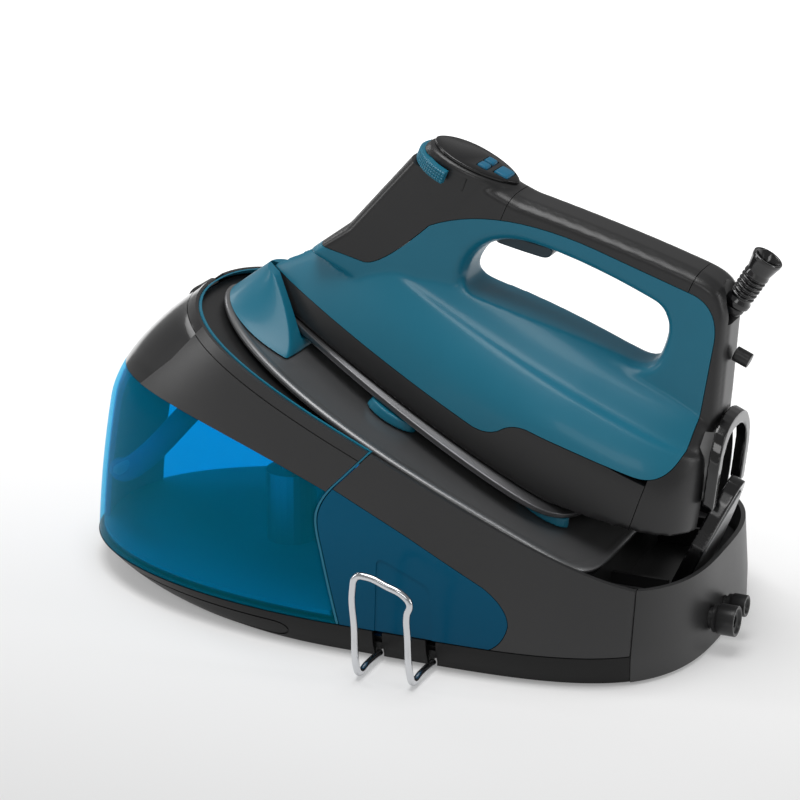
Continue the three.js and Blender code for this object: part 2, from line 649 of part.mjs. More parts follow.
function addIronBody() {
  const form = ironForm();
  const cavityTop = 60;
  const cavity = stack(0, cavityTop, 6, 40, (height) => {
    const ring = lowerRing(height * 1.06, 3);
    ring.rear = Math.min(ring.rear, 166 - 0.2 * height);
    ring.front += 3;
    return ring;
  }).subtract(sidePrism([[127, -10], [127, 11.5], [200, 25.5], [230, 25.5], [230, -10]], 90));
  const heelRecess = sidePrism([[181, 10], [175, 50], [169, 72], [230, 72], [230, 10]], 25.4);
  const ready = form.subtract(cavity).subtract(heelRecess);
  const teal = shellOutline();
  const tealRegion = sidePrism(teal, 90, 6);
  const aroundTeal = offsetPrism(teal, 0.35);
  const triggerPocket = box(11, 50, -7.2, 7.2, 99, 124);
  addPart('side_shell', ready.intersect(tealRegion).subtract(triggerPocket), 'teal', tilted);

  const dark = ready.subtract(aroundTeal);
  const rearSeamLine = [[125, 200], [127, 128], [155, 60], [158, 40], [162, 0]];
  const behind = sidePrism([...rearSeamLine, [260, 0], [260, 200]], 90);
  const ahead = sidePrism([...rearSeamLine.map(([x, z]) => [x - 0.35, z]), [-200, 0], [-200, 200]], 90);
  const hoseNotch = rod('z', hosePivot[2] - 8, 170, 11, [hosePivot[0], 0], 20)
    .add(box(hosePivot[0], 190, -11, 11, hosePivot[2] - 8, 170));
  addPart('rear_cover', dark.intersect(behind).subtract(hoseNotch), 'black', tilted);

  const front = dark.intersect(ahead);
  addPart('skirt', front.intersect(box(-200, 200, -90, 90, 0, 40)), 'black', tilted);
  const upper = front.intersect(box(-200, 200, -90, 90, 42, 200));
  let column = upper.intersect(box(-200, 14, -90, 90, 0, 200));
  const dialGroove = rod('z', dialBottom - clearance, dialTop + clearance, 40, [dialCentre, 0], 24)
    .subtract(rod('z', 100, 160, dialInner - clearance, [dialCentre, 0], 32))
    .intersect(box(-80, -12, -60, 60, 0, 200));
  column = column.subtract(dialGroove);
  for (const button of podButtons) {
    column = column.subtract(buttonBlock(button, clearance, podTop - 4.5, podTop + 5));
  }
  const spineBand = (grow) => sidePrism([
    [-90, 40], [-79 + grow, 40], [-62 + grow, 71], [-44 + grow, 124 + grow], [-60, 124 + grow],
  ], 5.5 + grow);
  addPart('front_spine', column.intersect(spineBand(0)), 'glossBlack', tilted);
  addPart('front_column', column.subtract(spineBand(0.35)), 'black', tilted);
  addPart('handle_top', upper.intersect(box(14.35, 200, -90, 90, 100, 200)), 'black', tilted);
}

// The iron's controls, hose end and heel.
function buttonBlock({ x, y, length, width }, grow, bottom, top) {
  const halfLength = length / 2 + grow;
  const halfWidth = width / 2 + grow;
  return box(x - halfLength, x + halfLength, y - halfWidth, y + halfWidth, bottom, top);
}

function addControls() {
  let panel = stack(podTop + 0.3, podTop + 1.8, 1, 40, () => ({
    front: -43, rear: 11, wide: -20, halfWidth: 17.5,
    nosePower: 2, noseWidthPower: 1.7, tailPower: 2, tailWidthPower: 1.5,
  }));
  for (const button of podButtons) {
    panel = panel.subtract(buttonBlock(button, clearance, podTop - 2, podTop + 4));
    addPart(button.name, buttonBlock(button, 0, podTop - 2.6, podTop + 3), 'teal', tilted);
  }
  addPart('pod_panel', panel, 'glossBlack', tilted);

  const ribs = 30;
  const band = new THREE.Shape();
  const halfTurn = THREE.MathUtils.degToRad(88);
  for (let i = 0; i <= ribs * 2; i += 1) {
    const angle = Math.PI - halfTurn + (2 * halfTurn * i) / (ribs * 2);
    const radius = dialOuter - (i % 2 ? 0.7 : 0);
    const point = [dialCentre + radius * Math.cos(angle), radius * Math.sin(angle)];
    if (i === 0) {
      band.moveTo(...point);
    } else {
      band.lineTo(...point);
    }
  }
  band.absarc(dialCentre, 0, dialInner, Math.PI + halfTurn, Math.PI - halfTurn, true);
  const settings = { depth: dialTop - dialBottom, bevelEnabled: false, curveSegments: 16 };
  const dial = new THREE.ExtrudeGeometry(band, settings);
  dial.translate(0, 0, dialBottom);
  addPart('steam_dial', toSolid(dial), 'teal', tilted);

  const lever = new THREE.Shape();
  lever.moveTo(12, 108);
  lever.quadraticCurveTo(12, 103.5, 16, 103.5);
  lever.quadraticCurveTo(30, 106, 41, 108.5);
  lever.quadraticCurveTo(47, 110, 46, 115);
  lever.lineTo(44, 117);
  lever.quadraticCurveTo(30, 113, 18, 112);
  lever.quadraticCurveTo(12, 112, 12, 108);
  addPart('steam_trigger', sidePrism(lever, 6.6, 6), 'black', tilted);
  addPart('trigger_switch', box(33, 44, -4, 4, 120.2, 123.7), 'black', tilted);
}

function addHoseEnd() {
  const [x, , z] = hosePivot;
  const profile = [[0, 0], [7.4, 0], [7.4, 3]];
  const rings = 3;
  for (let i = 0; i < rings; i += 1) {
    const start = 5 + i * 4.2;
    profile.push([6, start], [6, start + 1.2], [7 + 0.25 * i, start + 1.6], [7 + 0.25 * i, start + 3.8]);
  }
  profile.push([7, 23], [8.9, 31], [8.9, 33], [7.5, 33], [5.4, 24], [5.4, 12], [0, 12]);
  const sleeve = new THREE.LatheGeometry(profile.map(([r, h]) => new THREE.Vector2(r, h)), 14);
  sleeve.rotateX(Math.PI / 2);
  sleeve.translate(0, 0, 1);
  sleeve.rotateY(hoseLean);
  sleeve.translate(x, 0, z);
  addPart('hose_relief', toSolid(sleeve), 'rubber', tilted);
  const ball = toSolid(new THREE.SphereGeometry(6, 16, 10).translate(x, 0, z - 1));
  addPart('hose_swivel', ball.subtract(box(x - 20, x + 20, -20, 20, z, z + 20)), 'black', tilted);
  addPart('heel_stud', rod('x', 161.5, 171, 4.4, [0, 113], 16), 'black', tilted);
}

function uprightPlate(shape, from, to) {
  const settings = { depth: to - from, bevelEnabled: false, curveSegments: 8 };
  const geometry = new THREE.ExtrudeGeometry(shape, settings);
  geometry.rotateX(Math.PI / 2);
  geometry.rotateZ(Math.PI / 2);
  geometry.translate(from, 0, 0);
  return toSolid(geometry);
}

// The raised bow that the iron stands on when it is set on its heel.
function addHeelBow() {
  const bow = (half, top) => {
    const shape = new THREE.Shape();
    shape.moveTo(-half, 30);
    shape.lineTo(-half, 56);
    shape.quadraticCurveTo(-half, top, 0, top);
    shape.quadraticCurveTo(half, top, half, 56);
    shape.lineTo(half, 30);
    return shape;
  };
  const heights = [36, 45, 59, 70, 84];
  const face = (shift) => heights.map((height) => [lineAt(heelLine, height) + shift, height]);
  const layer = sidePrism([...face(0.6), ...face(7.5).reverse()], 60);
  const inside = uprightPlate(bow(22, 75), 140, 220);
  const ring = uprightPlate(bow(29, 82), 150, 210).subtract(inside).intersect(layer);
  addPart('heel_bow', ring, 'black', tilted);
}

addTray();
addBody();
addGlands();
addDeck();
addRestPlate();
addToeHolder();
addHeelStop();
addTank();
addSeal();
addHook();
addInsides();
addSole();
addIronBody();
addControls();
addHoseEnd();
addHeelBow();

export default part;
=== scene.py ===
import json
import bpy
import bmesh
from math import atan2, cos, degrees, hypot, pi, radians, sin, tan
from mathutils import Matrix, Vector

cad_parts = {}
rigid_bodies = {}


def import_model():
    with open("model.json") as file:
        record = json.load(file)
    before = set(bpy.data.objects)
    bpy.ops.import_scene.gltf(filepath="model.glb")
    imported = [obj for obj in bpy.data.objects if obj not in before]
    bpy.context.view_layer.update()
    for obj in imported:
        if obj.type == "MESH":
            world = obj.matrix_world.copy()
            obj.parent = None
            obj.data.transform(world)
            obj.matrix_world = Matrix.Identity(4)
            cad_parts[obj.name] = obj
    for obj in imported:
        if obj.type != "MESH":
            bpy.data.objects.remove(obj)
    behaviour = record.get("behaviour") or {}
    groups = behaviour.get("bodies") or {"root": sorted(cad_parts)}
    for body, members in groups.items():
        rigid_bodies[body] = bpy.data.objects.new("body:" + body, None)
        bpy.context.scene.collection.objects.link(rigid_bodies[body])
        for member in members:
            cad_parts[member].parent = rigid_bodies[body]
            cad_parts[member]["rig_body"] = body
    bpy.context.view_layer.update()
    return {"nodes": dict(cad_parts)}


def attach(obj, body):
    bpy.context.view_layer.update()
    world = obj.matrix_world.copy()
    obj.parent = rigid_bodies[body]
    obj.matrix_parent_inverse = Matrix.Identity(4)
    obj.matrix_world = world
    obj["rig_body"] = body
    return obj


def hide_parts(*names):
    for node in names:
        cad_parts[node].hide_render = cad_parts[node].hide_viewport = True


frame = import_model()
nodes = frame["nodes"]
scene = bpy.context.scene

# The iron, the deck and the rest plate lie in a frame tilted up at the toe.
deck = {"tilt": radians(23), "height": 126}
toMetres = Matrix.Scale(0.001, 4)
tiltedToWorld = toMetres @ Matrix.Translation((0, 0, deck["height"])) @ Matrix.Rotation(deck["tilt"], 4, "Y")


# The camera and the lights.
view = {"azimuth": radians(23.7), "elevation": radians(19.2), "distance": 1.686, "lens": 130.5,
        "target": Vector((-0.008, 0, 0.1114))}
toCamera = Vector((sin(view["azimuth"]) * cos(view["elevation"]),
                   -cos(view["azimuth"]) * cos(view["elevation"]), sin(view["elevation"])))
cameraData = bpy.data.cameras.new("camera")
cameraData.lens = view["lens"]
cameraData.sensor_width = 36
cameraData.clip_end = 50
camera = bpy.data.objects.new("camera", cameraData)
camera.location = view["target"] + toCamera * view["distance"]
camera.rotation_euler = toCamera.to_track_quat("Z", "Y").to_euler()
scene.collection.objects.link(camera)
scene.camera = camera
scene.view_settings.view_transform = "Standard"


def addLight(name, place, size, power, aim=(0, 0, 0.12), tone=(1, 1, 1)):
    data = bpy.data.lights.new(name, "AREA")
    data.shape = "RECTANGLE"
    data.size, data.size_y = size
    data.energy = power
    data.color = tone
    light = bpy.data.objects.new(name, data)
    light.location = place
    light.rotation_euler = (Vector(place) - Vector(aim)).to_track_quat("Z", "Y").to_euler()
    scene.collection.objects.link(light)


addLight("overheadBox", (-0.15, -0.1, 2.1), (1.5, 1.2), 27)
addLight("leftBox", (-1.9, -0.5, 0.8), (0.4, 1.0), 6)
addLight("frontBox", (0.6, -2.4, 1.5), (1.2, 0.6), 7)
addLight("noseBox", (-1.6, 0.9, 1.2), (0.35, 0.7), 3.5)
addLight("rearStrip", (1.5, 0.1, 0.6), (0.2, 0.8), 2.5)

world = bpy.data.worlds.new("studio")
world.use_nodes = True
world.node_tree.nodes["Background"].inputs["Color"].default_value = (1, 1, 1, 1)
world.node_tree.nodes["Background"].inputs["Strength"].default_value = 0.3
scene.world = world


# Shader tools.
class Wire:                                   # a shader socket that can be added and multiplied
    def __init__(self, finish, socket):
        self.finish = finish
        self.socket = socket

    def maths(self, operation, *values, clamp=False):
        return self.finish.node("ShaderNodeMath", {"operation": operation, "use_clamp": clamp},
                                dict(enumerate(values)))

    def __add__(self, other):
        return self.maths("ADD", self, other)

    def __sub__(self, other):
        return self.maths("SUBTRACT", self, other)

    def __rsub__(self, other):
        return self.maths("SUBTRACT", other, self)

    def __mul__(self, other):
        return self.maths("MULTIPLY", self, other)

    __radd__ = __add__
    __rmul__ = __mul__

    def clamped(self):
        return self.maths("ADD", self, 0, clamp=True)

    def above(self, edge, soft):              # 0 below the edge, 1 above it
        return self.maths("MULTIPLY", self - edge, 1 / soft, clamp=True)


class Finish:                                 # one material and its nodes
    def __init__(self, name):
        self.material = bpy.data.materials.new(name)
        self.material.use_nodes = True
        self.tree = self.material.node_tree
        self.tree.nodes.clear()
        self.output = self.tree.nodes.new("ShaderNodeOutputMaterial")
        self.place = self.node("ShaderNodeTexCoord", out="Object")

    def node(self, kind, settings=None, sockets=None, out=0):
        made = self.tree.nodes.new(kind)
        settings = dict(settings or {})
        stops = settings.pop("stops", None)
        for name, value in settings.items():
            setattr(made, name, value)
        if stops:
            ramp = made.color_ramp.elements
            while len(ramp) < len(stops):
                ramp.new(0.5)
            for element, (position, tone) in zip(ramp, stops):
                element.position = position
                element.color = (*tone, 1)
        for name, value in (sockets or {}).items():
            self.feed(made.inputs[name], value)
        return Wire(self, made.outputs[out])

    def feed(self, socket, value):
        if isinstance(value, Wire):
            self.tree.links.new(value.socket, socket)
        elif isinstance(value, (tuple, list)) and len(value) == 3 and len(socket.default_value) == 4:
            socket.default_value = (*value, 1)
        else:
            socket.default_value = value

    def mixed(self, mask, low, high):         # a colour between two
        made = self.tree.nodes.new("ShaderNodeMix")
        made.data_type = "RGBA"
        self.feed(made.inputs[0], mask)
        self.feed(made.inputs[6], low)
        self.feed(made.inputs[7], high)
        return Wire(self, made.outputs[2])

    def noise(self, scale, detail=2, rough=0.5, place=None):
        return self.node("ShaderNodeTexNoise", None, {
            "Vector": place or self.place, "Scale": scale, "Detail": detail, "Roughness": rough})

    def axis(self, name, place=None):
        return self.node("ShaderNodeSeparateXYZ", None, {0: place or self.place}, name)

    def bump(self, height, strength, depth, base=None):
        sockets = {"Height": height, "Strength": strength, "Distance": depth}
        if base:
            sockets["Normal"] = base
        return self.node("ShaderNodeBump", None, sockets)

    def surface(self, **sockets):
        shader = self.node("ShaderNodeBsdfPrincipled", None,
                           {name.replace("_", " "): value for name, value in sockets.items()})
        self.feed(self.output.inputs["Surface"], shader)
        return shader


# Finishes.
# Moulded plastic: a fine spark-eroded grain, faint flow marks and handling smudges.
def plastic(name, tone, rough, grain=0.12, grainScale=2600, coat=0.0, smudge=0.08, dust=0.03, gleam=0.5):
    finish = Finish(name)
    flow = finish.noise(16, 3)
    speck = finish.noise(grainScale, 2, 0.6)
    handled = finish.noise(38, 4, 0.62)
    lighter = tuple(min(1, c * 1.22 + dust * 0.05) for c in tone)
    colour = finish.mixed((flow * 0.7 + handled * 0.4 - 0.2).clamped(), tone, lighter)
    sparkle = finish.bump(speck, grain, 0.00012)
    roughness = handled * smudge + flow * (smudge * 0.6) + (rough - smudge * 0.8)
    finish.surface(Base_Color=colour, Roughness=roughness,
                   Specular_IOR_Level=gleam, Coat_Weight=coat, Coat_Roughness=0.12, Normal=sparkle)
    return finish.material


def brushedMetal(name, tone, rough, stretch=(1, 60, 60), coat=0.0, metal=1.0):
    finish = Finish(name)
    lengthwise = finish.node("ShaderNodeMapping", None, {"Vector": finish.place, "Scale": stretch})
    brush = finish.noise(60, 3, 0.6, lengthwise)
    cloud = finish.noise(22, 3)
    colour = finish.mixed((brush * 0.5 + cloud * 0.5).clamped(), tuple(c * 0.8 for c in tone), tone)
    finish.surface(Base_Color=colour, Metallic=metal, Roughness=brush * 0.14 + cloud * 0.08 + (rough - 0.1),
                   Coat_Weight=coat, Normal=finish.bump(brush, 0.12, 0.0001))
    return finish.material


tones = {
    "charcoal": (0.023, 0.023, 0.0235), "black": (0.0125, 0.0125, 0.013), "tray": (0.005, 0.005, 0.005),
    "gloss": (0.004, 0.004, 0.0045), "rubber": (0.009, 0.009, 0.009),
    "teal": (0.005, 0.138, 0.215), "button": (0.01, 0.125, 0.225), "lever": (0.003, 0.022, 0.034),
    "window": (0.0006, 0.062, 0.125), "windowHigh": (0.0008, 0.085, 0.165),
    "inside": (0.02, 0.36, 0.34), "insideDark": (0.01, 0.16, 0.3), "bulkhead": (0.008, 0.13, 0.17),
    "plate": (0.19, 0.192, 0.196), "sole": (0.17, 0.17, 0.176), "steel": (0.72, 0.73, 0.75),
    "aluminium": (0.42, 0.43, 0.45), "brass": (0.5, 0.34, 0.12), "board": (0.01, 0.09, 0.035),
}
charcoalPlastic = plastic("charcoalPlastic", tones["charcoal"], 0.38, 0.14)
blackPlastic = plastic("blackPlastic", tones["black"], 0.34, 0.1)
glossBlack = plastic("glossBlack", tones["gloss"], 0.17, 0.03, 900, 0.5, 0.05)
trayBlack = plastic("trayBlack", tones["tray"], 0.4, 0.1, gleam=0.25)
panelBlack = plastic("panelBlack", tones["gloss"], 0.24, 0.04, 900, 0, 0.05, 0.03, 0.5)
tealPlastic = plastic("tealPlastic", tones["teal"], 0.42, 0.1, 2400, 0.12, gleam=0.36)
leverPlastic = plastic("leverPlastic", tones["lever"], 0.3, 0.06, 1800)
tealButton = plastic("tealButton", tones["button"], 0.32, 0.06, 1800, gleam=0.2)
insidePlastic = plastic("insidePlastic", tones["inside"], 0.5, 0.04, 300, gleam=0.1)
bulkheadPlastic = plastic("bulkheadPlastic", tones["bulkhead"], 0.5, 0.06, 900, gleam=0.15)
insideDark = plastic("insideDark", tones["insideDark"], 0.5, 0.04, 300, gleam=0.1)
blackRubber = plastic("blackRubber", tones["rubber"], 0.7, 0.4, 1500, 0, 0.12, 0.1)
greenBoard = plastic("greenBoard", tones["board"], 0.5, 0.3, 700)
brightSteel = brushedMetal("brightSteel", tones["steel"], 0.16, (30, 30, 30))
castAluminium = brushedMetal("castAluminium", tones["aluminium"], 0.34)
machinedBrass = brushedMetal("machinedBrass", tones["brass"], 0.3, (40, 40, 4))
plateMetal = brushedMetal("plateMetal", tones["plate"], 0.36, (2, 40, 40), 0.15, 0.7)
soleMetal = brushedMetal("soleMetal", tones["sole"], 0.3, (2, 40, 40), 0.1, 0.85)
# Deep tinted window: a glossy clear front over dark blue, darker towards the bottom.
windowFinish = Finish("windowBlue")
fade = windowFinish.axis("Z").above(0.012, 0.06)
windowFinish.surface(Base_Color=windowFinish.mixed(fade, tones["window"], tones["windowHigh"]),
                     Roughness=windowFinish.noise(40, 3) * 0.08 + 0.16, Specular_IOR_Level=0.12,
                     Normal=windowFinish.bump(windowFinish.noise(60, 2), 0.05, 0.0004))
windowBlue = windowFinish.material
print("finishes made")


# Modelling tools, in millimetres.
def pieceFrom(bm, name, place, body, finish, replaced=(), sharp=32, recalc=False):
    if recalc:
        bmesh.ops.recalc_face_normals(bm, faces=bm.faces)
    if place:
        bmesh.ops.transform(bm, matrix=place, verts=bm.verts)
    mesh = bpy.data.meshes.new(name)
    bm.to_mesh(mesh)
    bm.free()
    piece = bpy.data.objects.new(name, mesh)
    scene.collection.objects.link(piece)
    dress(piece, body, finish, replaced, sharp)
    return piece


def dress(piece, body, finish, replaced, sharp=32):
    mesh = piece.data
    mesh.materials.clear()
    mesh.materials.append(finish)
    mesh.polygons.foreach_set("material_index", [0] * len(mesh.polygons))
    mesh.polygons.foreach_set("use_smooth", [True] * len(mesh.polygons))
    mesh.set_sharp_from_angle(angle=radians(sharp))
    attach(piece, body)
    if replaced:
        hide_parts(*replaced)


def workObject(bm, name="work"):
    mesh = bpy.data.meshes.new(name)
    bm.to_mesh(mesh)
    bm.free()
    made = bpy.data.objects.new(name, mesh)
    scene.collection.objects.link(made)
    return made


def applied(piece):                           # the mesh with its modifiers, which are then gone
    graph = bpy.context.evaluated_depsgraph_get()
    mesh = bpy.data.meshes.new_from_object(piece.evaluated_get(graph))
    piece.modifiers.clear()
    piece.data = mesh
    return piece


def discard(piece):
    bpy.data.objects.remove(piece, do_unlink=True)


def cut(piece, tool, operation="DIFFERENCE", keepTool=False):
    modifier = piece.modifiers.new("cut", "BOOLEAN")
    modifier.operation = operation
    modifier.solver = "EXACT"
    modifier.object = tool
    applied(piece)
    if not keepTool:
        discard(tool)
    return piece


def copyOf(piece):
    made = piece.copy()
    made.data = piece.data.copy()
    scene.collection.objects.link(made)
    return made


def meshOf(piece):                            # its bmesh, and the object is dropped
    bm = bmesh.new()
    bm.from_mesh(piece.data)
    discard(piece)
    return bm


# Points along a path: each step is (x, z) for a line or (cx, cz, x, z) for a curve.
def outline(start, *steps, fine=14):
    points = [Vector(start)]
    for step in steps:
        here = points[-1].copy()
        if len(step) == 2:
            points.append(Vector(step))
            continue
        bend, end = Vector(step[:2]), Vector(step[2:])
        for i in range(1, fine + 1):
            t = i / fine
            points.append(here * (1 - t) ** 2 + bend * 2 * t * (1 - t) + end * t * t)
    return points


def offset(points, distance):                 # a closed outline moved outwards along its normals
    area = sum(a.x * b.y - b.x * a.y for a, b in zip(points, points[1:] + points[:1]))
    side = 1 if area > 0 else -1
    moved = []
    for before, here, after in zip(points[-1:] + points[:-1], points, points[1:] + points[:1]):
        ways = [w.normalized() for w in (here - before, after - here) if w.length > 1e-6]
        way = sum(ways, Vector((0, 0)))
        normal = Vector((way.y, -way.x)).normalized() * side
        moved.append(here + normal * distance)
    return moved


def prism(points, halfWidth, middle=0):       # across Y from a side outline
    bm = bmesh.new()
    face = bm.faces.new([bm.verts.new((p[0], middle - halfWidth, p[1])) for p in points])
    made = bmesh.ops.extrude_face_region(bm, geom=[face])["geom"]
    raised = [part for part in made if isinstance(part, bmesh.types.BMVert)]
    bmesh.ops.translate(bm, verts=raised, vec=(0, 2 * halfWidth, 0))
    bmesh.ops.recalc_face_normals(bm, faces=bm.faces)
    return bm


def block(low, high):
    bm = bmesh.new()
    bmesh.ops.create_cube(bm, size=1)
    low, high = Vector(low), Vector(high)
    bmesh.ops.scale(bm, vec=high - low, verts=bm.verts)
    bmesh.ops.translate(bm, vec=(low + high) / 2, verts=bm.verts)
    return bm


def signedPower(value, power):
    return (value > 0) * abs(value) ** power - (value < 0) * abs(value) ** power


# A closed body of level rings: a cylinder whose points follow a ring for each height.
def stack(bottom, top, rings, points, ringAt):
    bm = bmesh.new()
    bmesh.ops.create_cone(bm, cap_ends=True, segments=points, radius1=1, radius2=1, depth=1)
    upright = [e for e in bm.edges if abs(e.verts[0].co.z - e.verts[1].co.z) > 0.5]
    bmesh.ops.subdivide_edges(bm, edges=upright, cuts=rings - 1, use_grid_fill=True)
    for vert in bm.verts:
        height = bottom + (top - bottom) * (vert.co.z + 0.5)
        ring = ringAt(height)
        angle = atan2(vert.co.y, vert.co.x)
        along, across = cos(angle), sin(angle)
        front = along < 0
        length = ring["wide"] - ring["front"] if front else ring["rear"] - ring["wide"]
        power, sidePower = ring["nose"] if front else ring["tail"]
        vert.co = (ring["wide"] + length * signedPower(along, 2 / power),
                   ring["half"] * signedPower(across, 2 / sidePower), ring.get("height", height))
    return bm


def smoothRamp(t):
    t = max(0, min(1, t))
    return t * t * (3 - 2 * t)


def between(points, at):                      # a smooth curve through (position, value) pairs
    if at <= points[0][0]:
        return points[0][1]
    for i in range(len(points) - 1):
        (a, va), (b, vb) = points[i], points[i + 1]
        if at <= b:
            before = points[max(0, i - 1)]
            after = points[min(len(points) - 1, i + 2)]
            slopeA = (vb - before[1]) / (b - before[0])
            slopeB = (after[1] - va) / (after[0] - a)
            t, span = (at - a) / (b - a), b - a
            return (va * (1 + 2 * t) * (1 - t) ** 2 + slopeA * span * t * (1 - t) ** 2
                    + vb * t * t * (3 - 2 * t) + slopeB * span * t * t * (t - 1))
    return points[-1][1]


# A rounded version of a CAD node: a merged copy, remeshed finely and eased at its edges.
def rounded(node, finish, grid=0.0006, ease=4, body=None):
    bm = bmesh.new()
    bm.from_mesh(nodes[node].data)
    bmesh.ops.remove_doubles(bm, verts=bm.verts, dist=1e-6)
    piece = workObject(bm, node + "_rounded")
    remesh = piece.modifiers.new("remesh", "REMESH")
    remesh.mode = "VOXEL"
    remesh.voxel_size = grid
    remesh.adaptivity = 0
    easing = piece.modifiers.new("ease", "SMOOTH")
    easing.factor = 0.5
    easing.iterations = ease
    applied(piece)
    dress(piece, nodes[node]["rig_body"], finish, [node], 50)
    return piece


# The iron.
iron = {"toe": -111, "podTop": 138, "half": 17.5, "wide": 100, "ridge": 4.5, "grid": 0.0014, "ease": 7,
        "gap": 0.4, "dialAt": -22.5, "dialInner": 21.4, "dialOuter": 26.4, "dialLow": 126, "dialHigh": 133.4,
        "hoseAt": (150, 0, 138), "hoseLean": radians(8)}
noseLine = [(0, -110), (10, -108), (20, -103), (45, -83), (71, -68), (100, -58), (133, -47)]
heelLine = [(0, 194), (18, 191), (59, 179), (90, 168), (110, 160), (135, 152), (150, 147)]


def ironRing(height):
    shoulder = max(0, min(1, (height - 30) / 54))
    valley = height - 60
    dip = iron["ridge"] * smoothRamp(valley / 2.5) * (1 - smoothRamp((valley - 2.5) / 15))
    half = 59.5 - 0.03 * height - 50 * shoulder ** 2.3 - dip
    return {"front": between(noseLine, height), "rear": between(heelLine, height), "wide": iron["wide"],
            "half": half, "nose": (1.5, 1.15), "tail": (4.5, 3.6)}


def podRing(height):
    rise = max(0, (height - 96) / (iron["podTop"] - 96))
    crown = 1.6 * max(0, rise - 0.95) / 0.05
    return {"front": -58 + 13 * rise + crown, "rear": 4 + 9 * rise - crown, "wide": -20,
            "half": 15 + 5.5 * rise ** 0.7 - crown, "nose": (2.2, 2), "tail": (2.2, 1.8)}


handleSide = outline((-84, 44), (-68, 71), (-49, 127), (-46, 135, -38, 137), (10, 136), (16, 136, 20, 136),
                     (80, 145.5, 126, 149), (141, 150, 146, 143), (152, 135), (168, 90), (178, 60), (60, 40))
handleHole = outline((6, 86), (6, 72, 18, 73), (70, 81, 112, 83), (126, 84, 126, 96), (126, 119, 112, 121),
                     (70, 122, 38, 116), (8, 110, 6, 86))[:-1]
tealSide = outline((-130, 19), (56, 20), (66, 21, 71, 27), (76, 35, 86, 36.5), (150, 43), (167, 45, 166, 62),
                   (152, 116), (147, 138, 130, 138), (80, 134), (10, 130, -22, 97), (-40, 58, -50, 57),
                   (-92, 50))
loopBelow = outline((6, 86), (6, 72, 18, 73), (70, 81, 112, 83), (126, 84, 126, 96), (6, 96))

body = workObject(stack(4.4, 84, 80, 140, ironRing), "ironForm")
cut(body, workObject(prism(loopBelow, 40)))
for shrink, half in ((0, 9.5), (-1.1, 13.2), (-2.5, 15.8), (-4.2, iron["half"])):
    layer = workObject(prism(offset(handleSide, shrink), half))
    cut(layer, workObject(prism(offset(handleHole, -shrink), 40)))
    cut(body, layer, "UNION")
cut(body, workObject(stack(96, iron["podTop"], 30, 80, podRing)), "UNION")
cut(body, workObject(prism([(112, -10), (112, 4.6), (200, 21.5), (230, 21.5), (230, -10)], 90)))
bm = meshOf(body)
bmesh.ops.transform(bm, matrix=toMetres, verts=bm.verts)
body = workObject(bm, "ironForm")
remesh = body.modifiers.new("remesh", "REMESH")
remesh.mode = "VOXEL"
remesh.voxel_size = iron["grid"]
easing = body.modifiers.new("ease", "SMOOTH")
easing.factor = 0.5
easing.iterations = iron["ease"]
applied(body)
bm = meshOf(body)
bmesh.ops.transform(bm, matrix=toMetres.inverted(), verts=bm.verts)
ironForm = workObject(bm, "ironForm")
print("iron form", len(ironForm.data.polygons))


def ironPiece(source, name, finish, replaced, *steps):
    piece = copyOf(source)
    for operation, tool in steps:
        cut(piece, workObject(tool), operation)
    return pieceFrom(meshOf(piece), name, tiltedToWorld, "iron", finish, replaced, 30)


far = 260
behindLine = [(125, 200), (127, 128), (155, 60), (158, 40), (162, 0)]
behind = behindLine + [(260, 0), (260, 200)]
ahead = [(x - iron["gap"], z) for x, z in behindLine] + [(-200, 0), (-200, 200)]
bench = copyOf(ironForm)
cut(bench, workObject(prism([(181, 10), (175, 50), (169, 72), (230, 72), (230, 10)], 25.4)))
ironPiece(bench, "sideShellSkin", tealPlastic, ["side_shell"],
          ("INTERSECT", prism(tealSide, 90)), ("DIFFERENCE", block((11, -7.2, 99), (50, 7.2, 124))))
cut(bench, workObject(prism(offset(tealSide, iron["gap"]), 90)))
hoseX, _, hoseZ = iron["hoseAt"]
notch = bmesh.new()
bmesh.ops.create_cone(notch, cap_ends=True, segments=64, radius1=11, radius2=11, depth=40)
bmesh.ops.translate(notch, vec=(hoseX, 0, hoseZ + 12), verts=notch.verts)
ironPiece(bench, "rearCoverSkin", blackPlastic, ["rear_cover"], ("INTERSECT", prism(behind, 90)),
          ("DIFFERENCE", notch), ("DIFFERENCE", block((hoseX, -11, hoseZ - 8), (hoseX + 40, 11, hoseZ + 32))))
cut(bench, workObject(prism(ahead, 90)), "INTERSECT")
ironPiece(bench, "skirtSkin", blackPlastic, ["skirt"], ("INTERSECT", block((-200, -90, 0), (200, 90, 41))))
cut(bench, workObject(block((-200, -90, 41.4), (200, 90, 200))), "INTERSECT")
ironPiece(bench, "handleTopSkin", blackPlastic, ["handle_top"],
          ("INTERSECT", block((14.35, -90, 100), (200, 90, 200))))
podButtons = {                                # name: (x, y, length, width)
    "program_button": (-10, -5, 6.5, 8), "steam_button": (-10, 5, 6.5, 8), "power_button": (1, 0, 9, 13)}
groove = bmesh.new()
bmesh.ops.create_cone(groove, cap_ends=True, segments=96, radius1=40, radius2=40, depth=8.2)
bmesh.ops.translate(groove, vec=(iron["dialAt"], 0, 129.7), verts=groove.verts)
groove = workObject(groove)
core = bmesh.new()
bmesh.ops.create_cone(core, cap_ends=True, segments=96, radius1=21, radius2=21, depth=30)
bmesh.ops.translate(core, vec=(iron["dialAt"], 0, 129.7), verts=core.verts)
cut(groove, workObject(core))
cut(groove, workObject(block((-80, -60, 100), (-12, 60, 160))), "INTERSECT")
cut(bench, groove)
pockets = [("DIFFERENCE", block((x - length / 2 - 0.4, y - width / 2 - 0.4, 133.5),
                                (x + length / 2 + 0.4, y + width / 2 + 0.4, 150)))
           for x, y, length, width in podButtons.values()]
spine = outline((-90, 40), (-79, 40), (-62, 71), (-44, 124), (-60, 124))
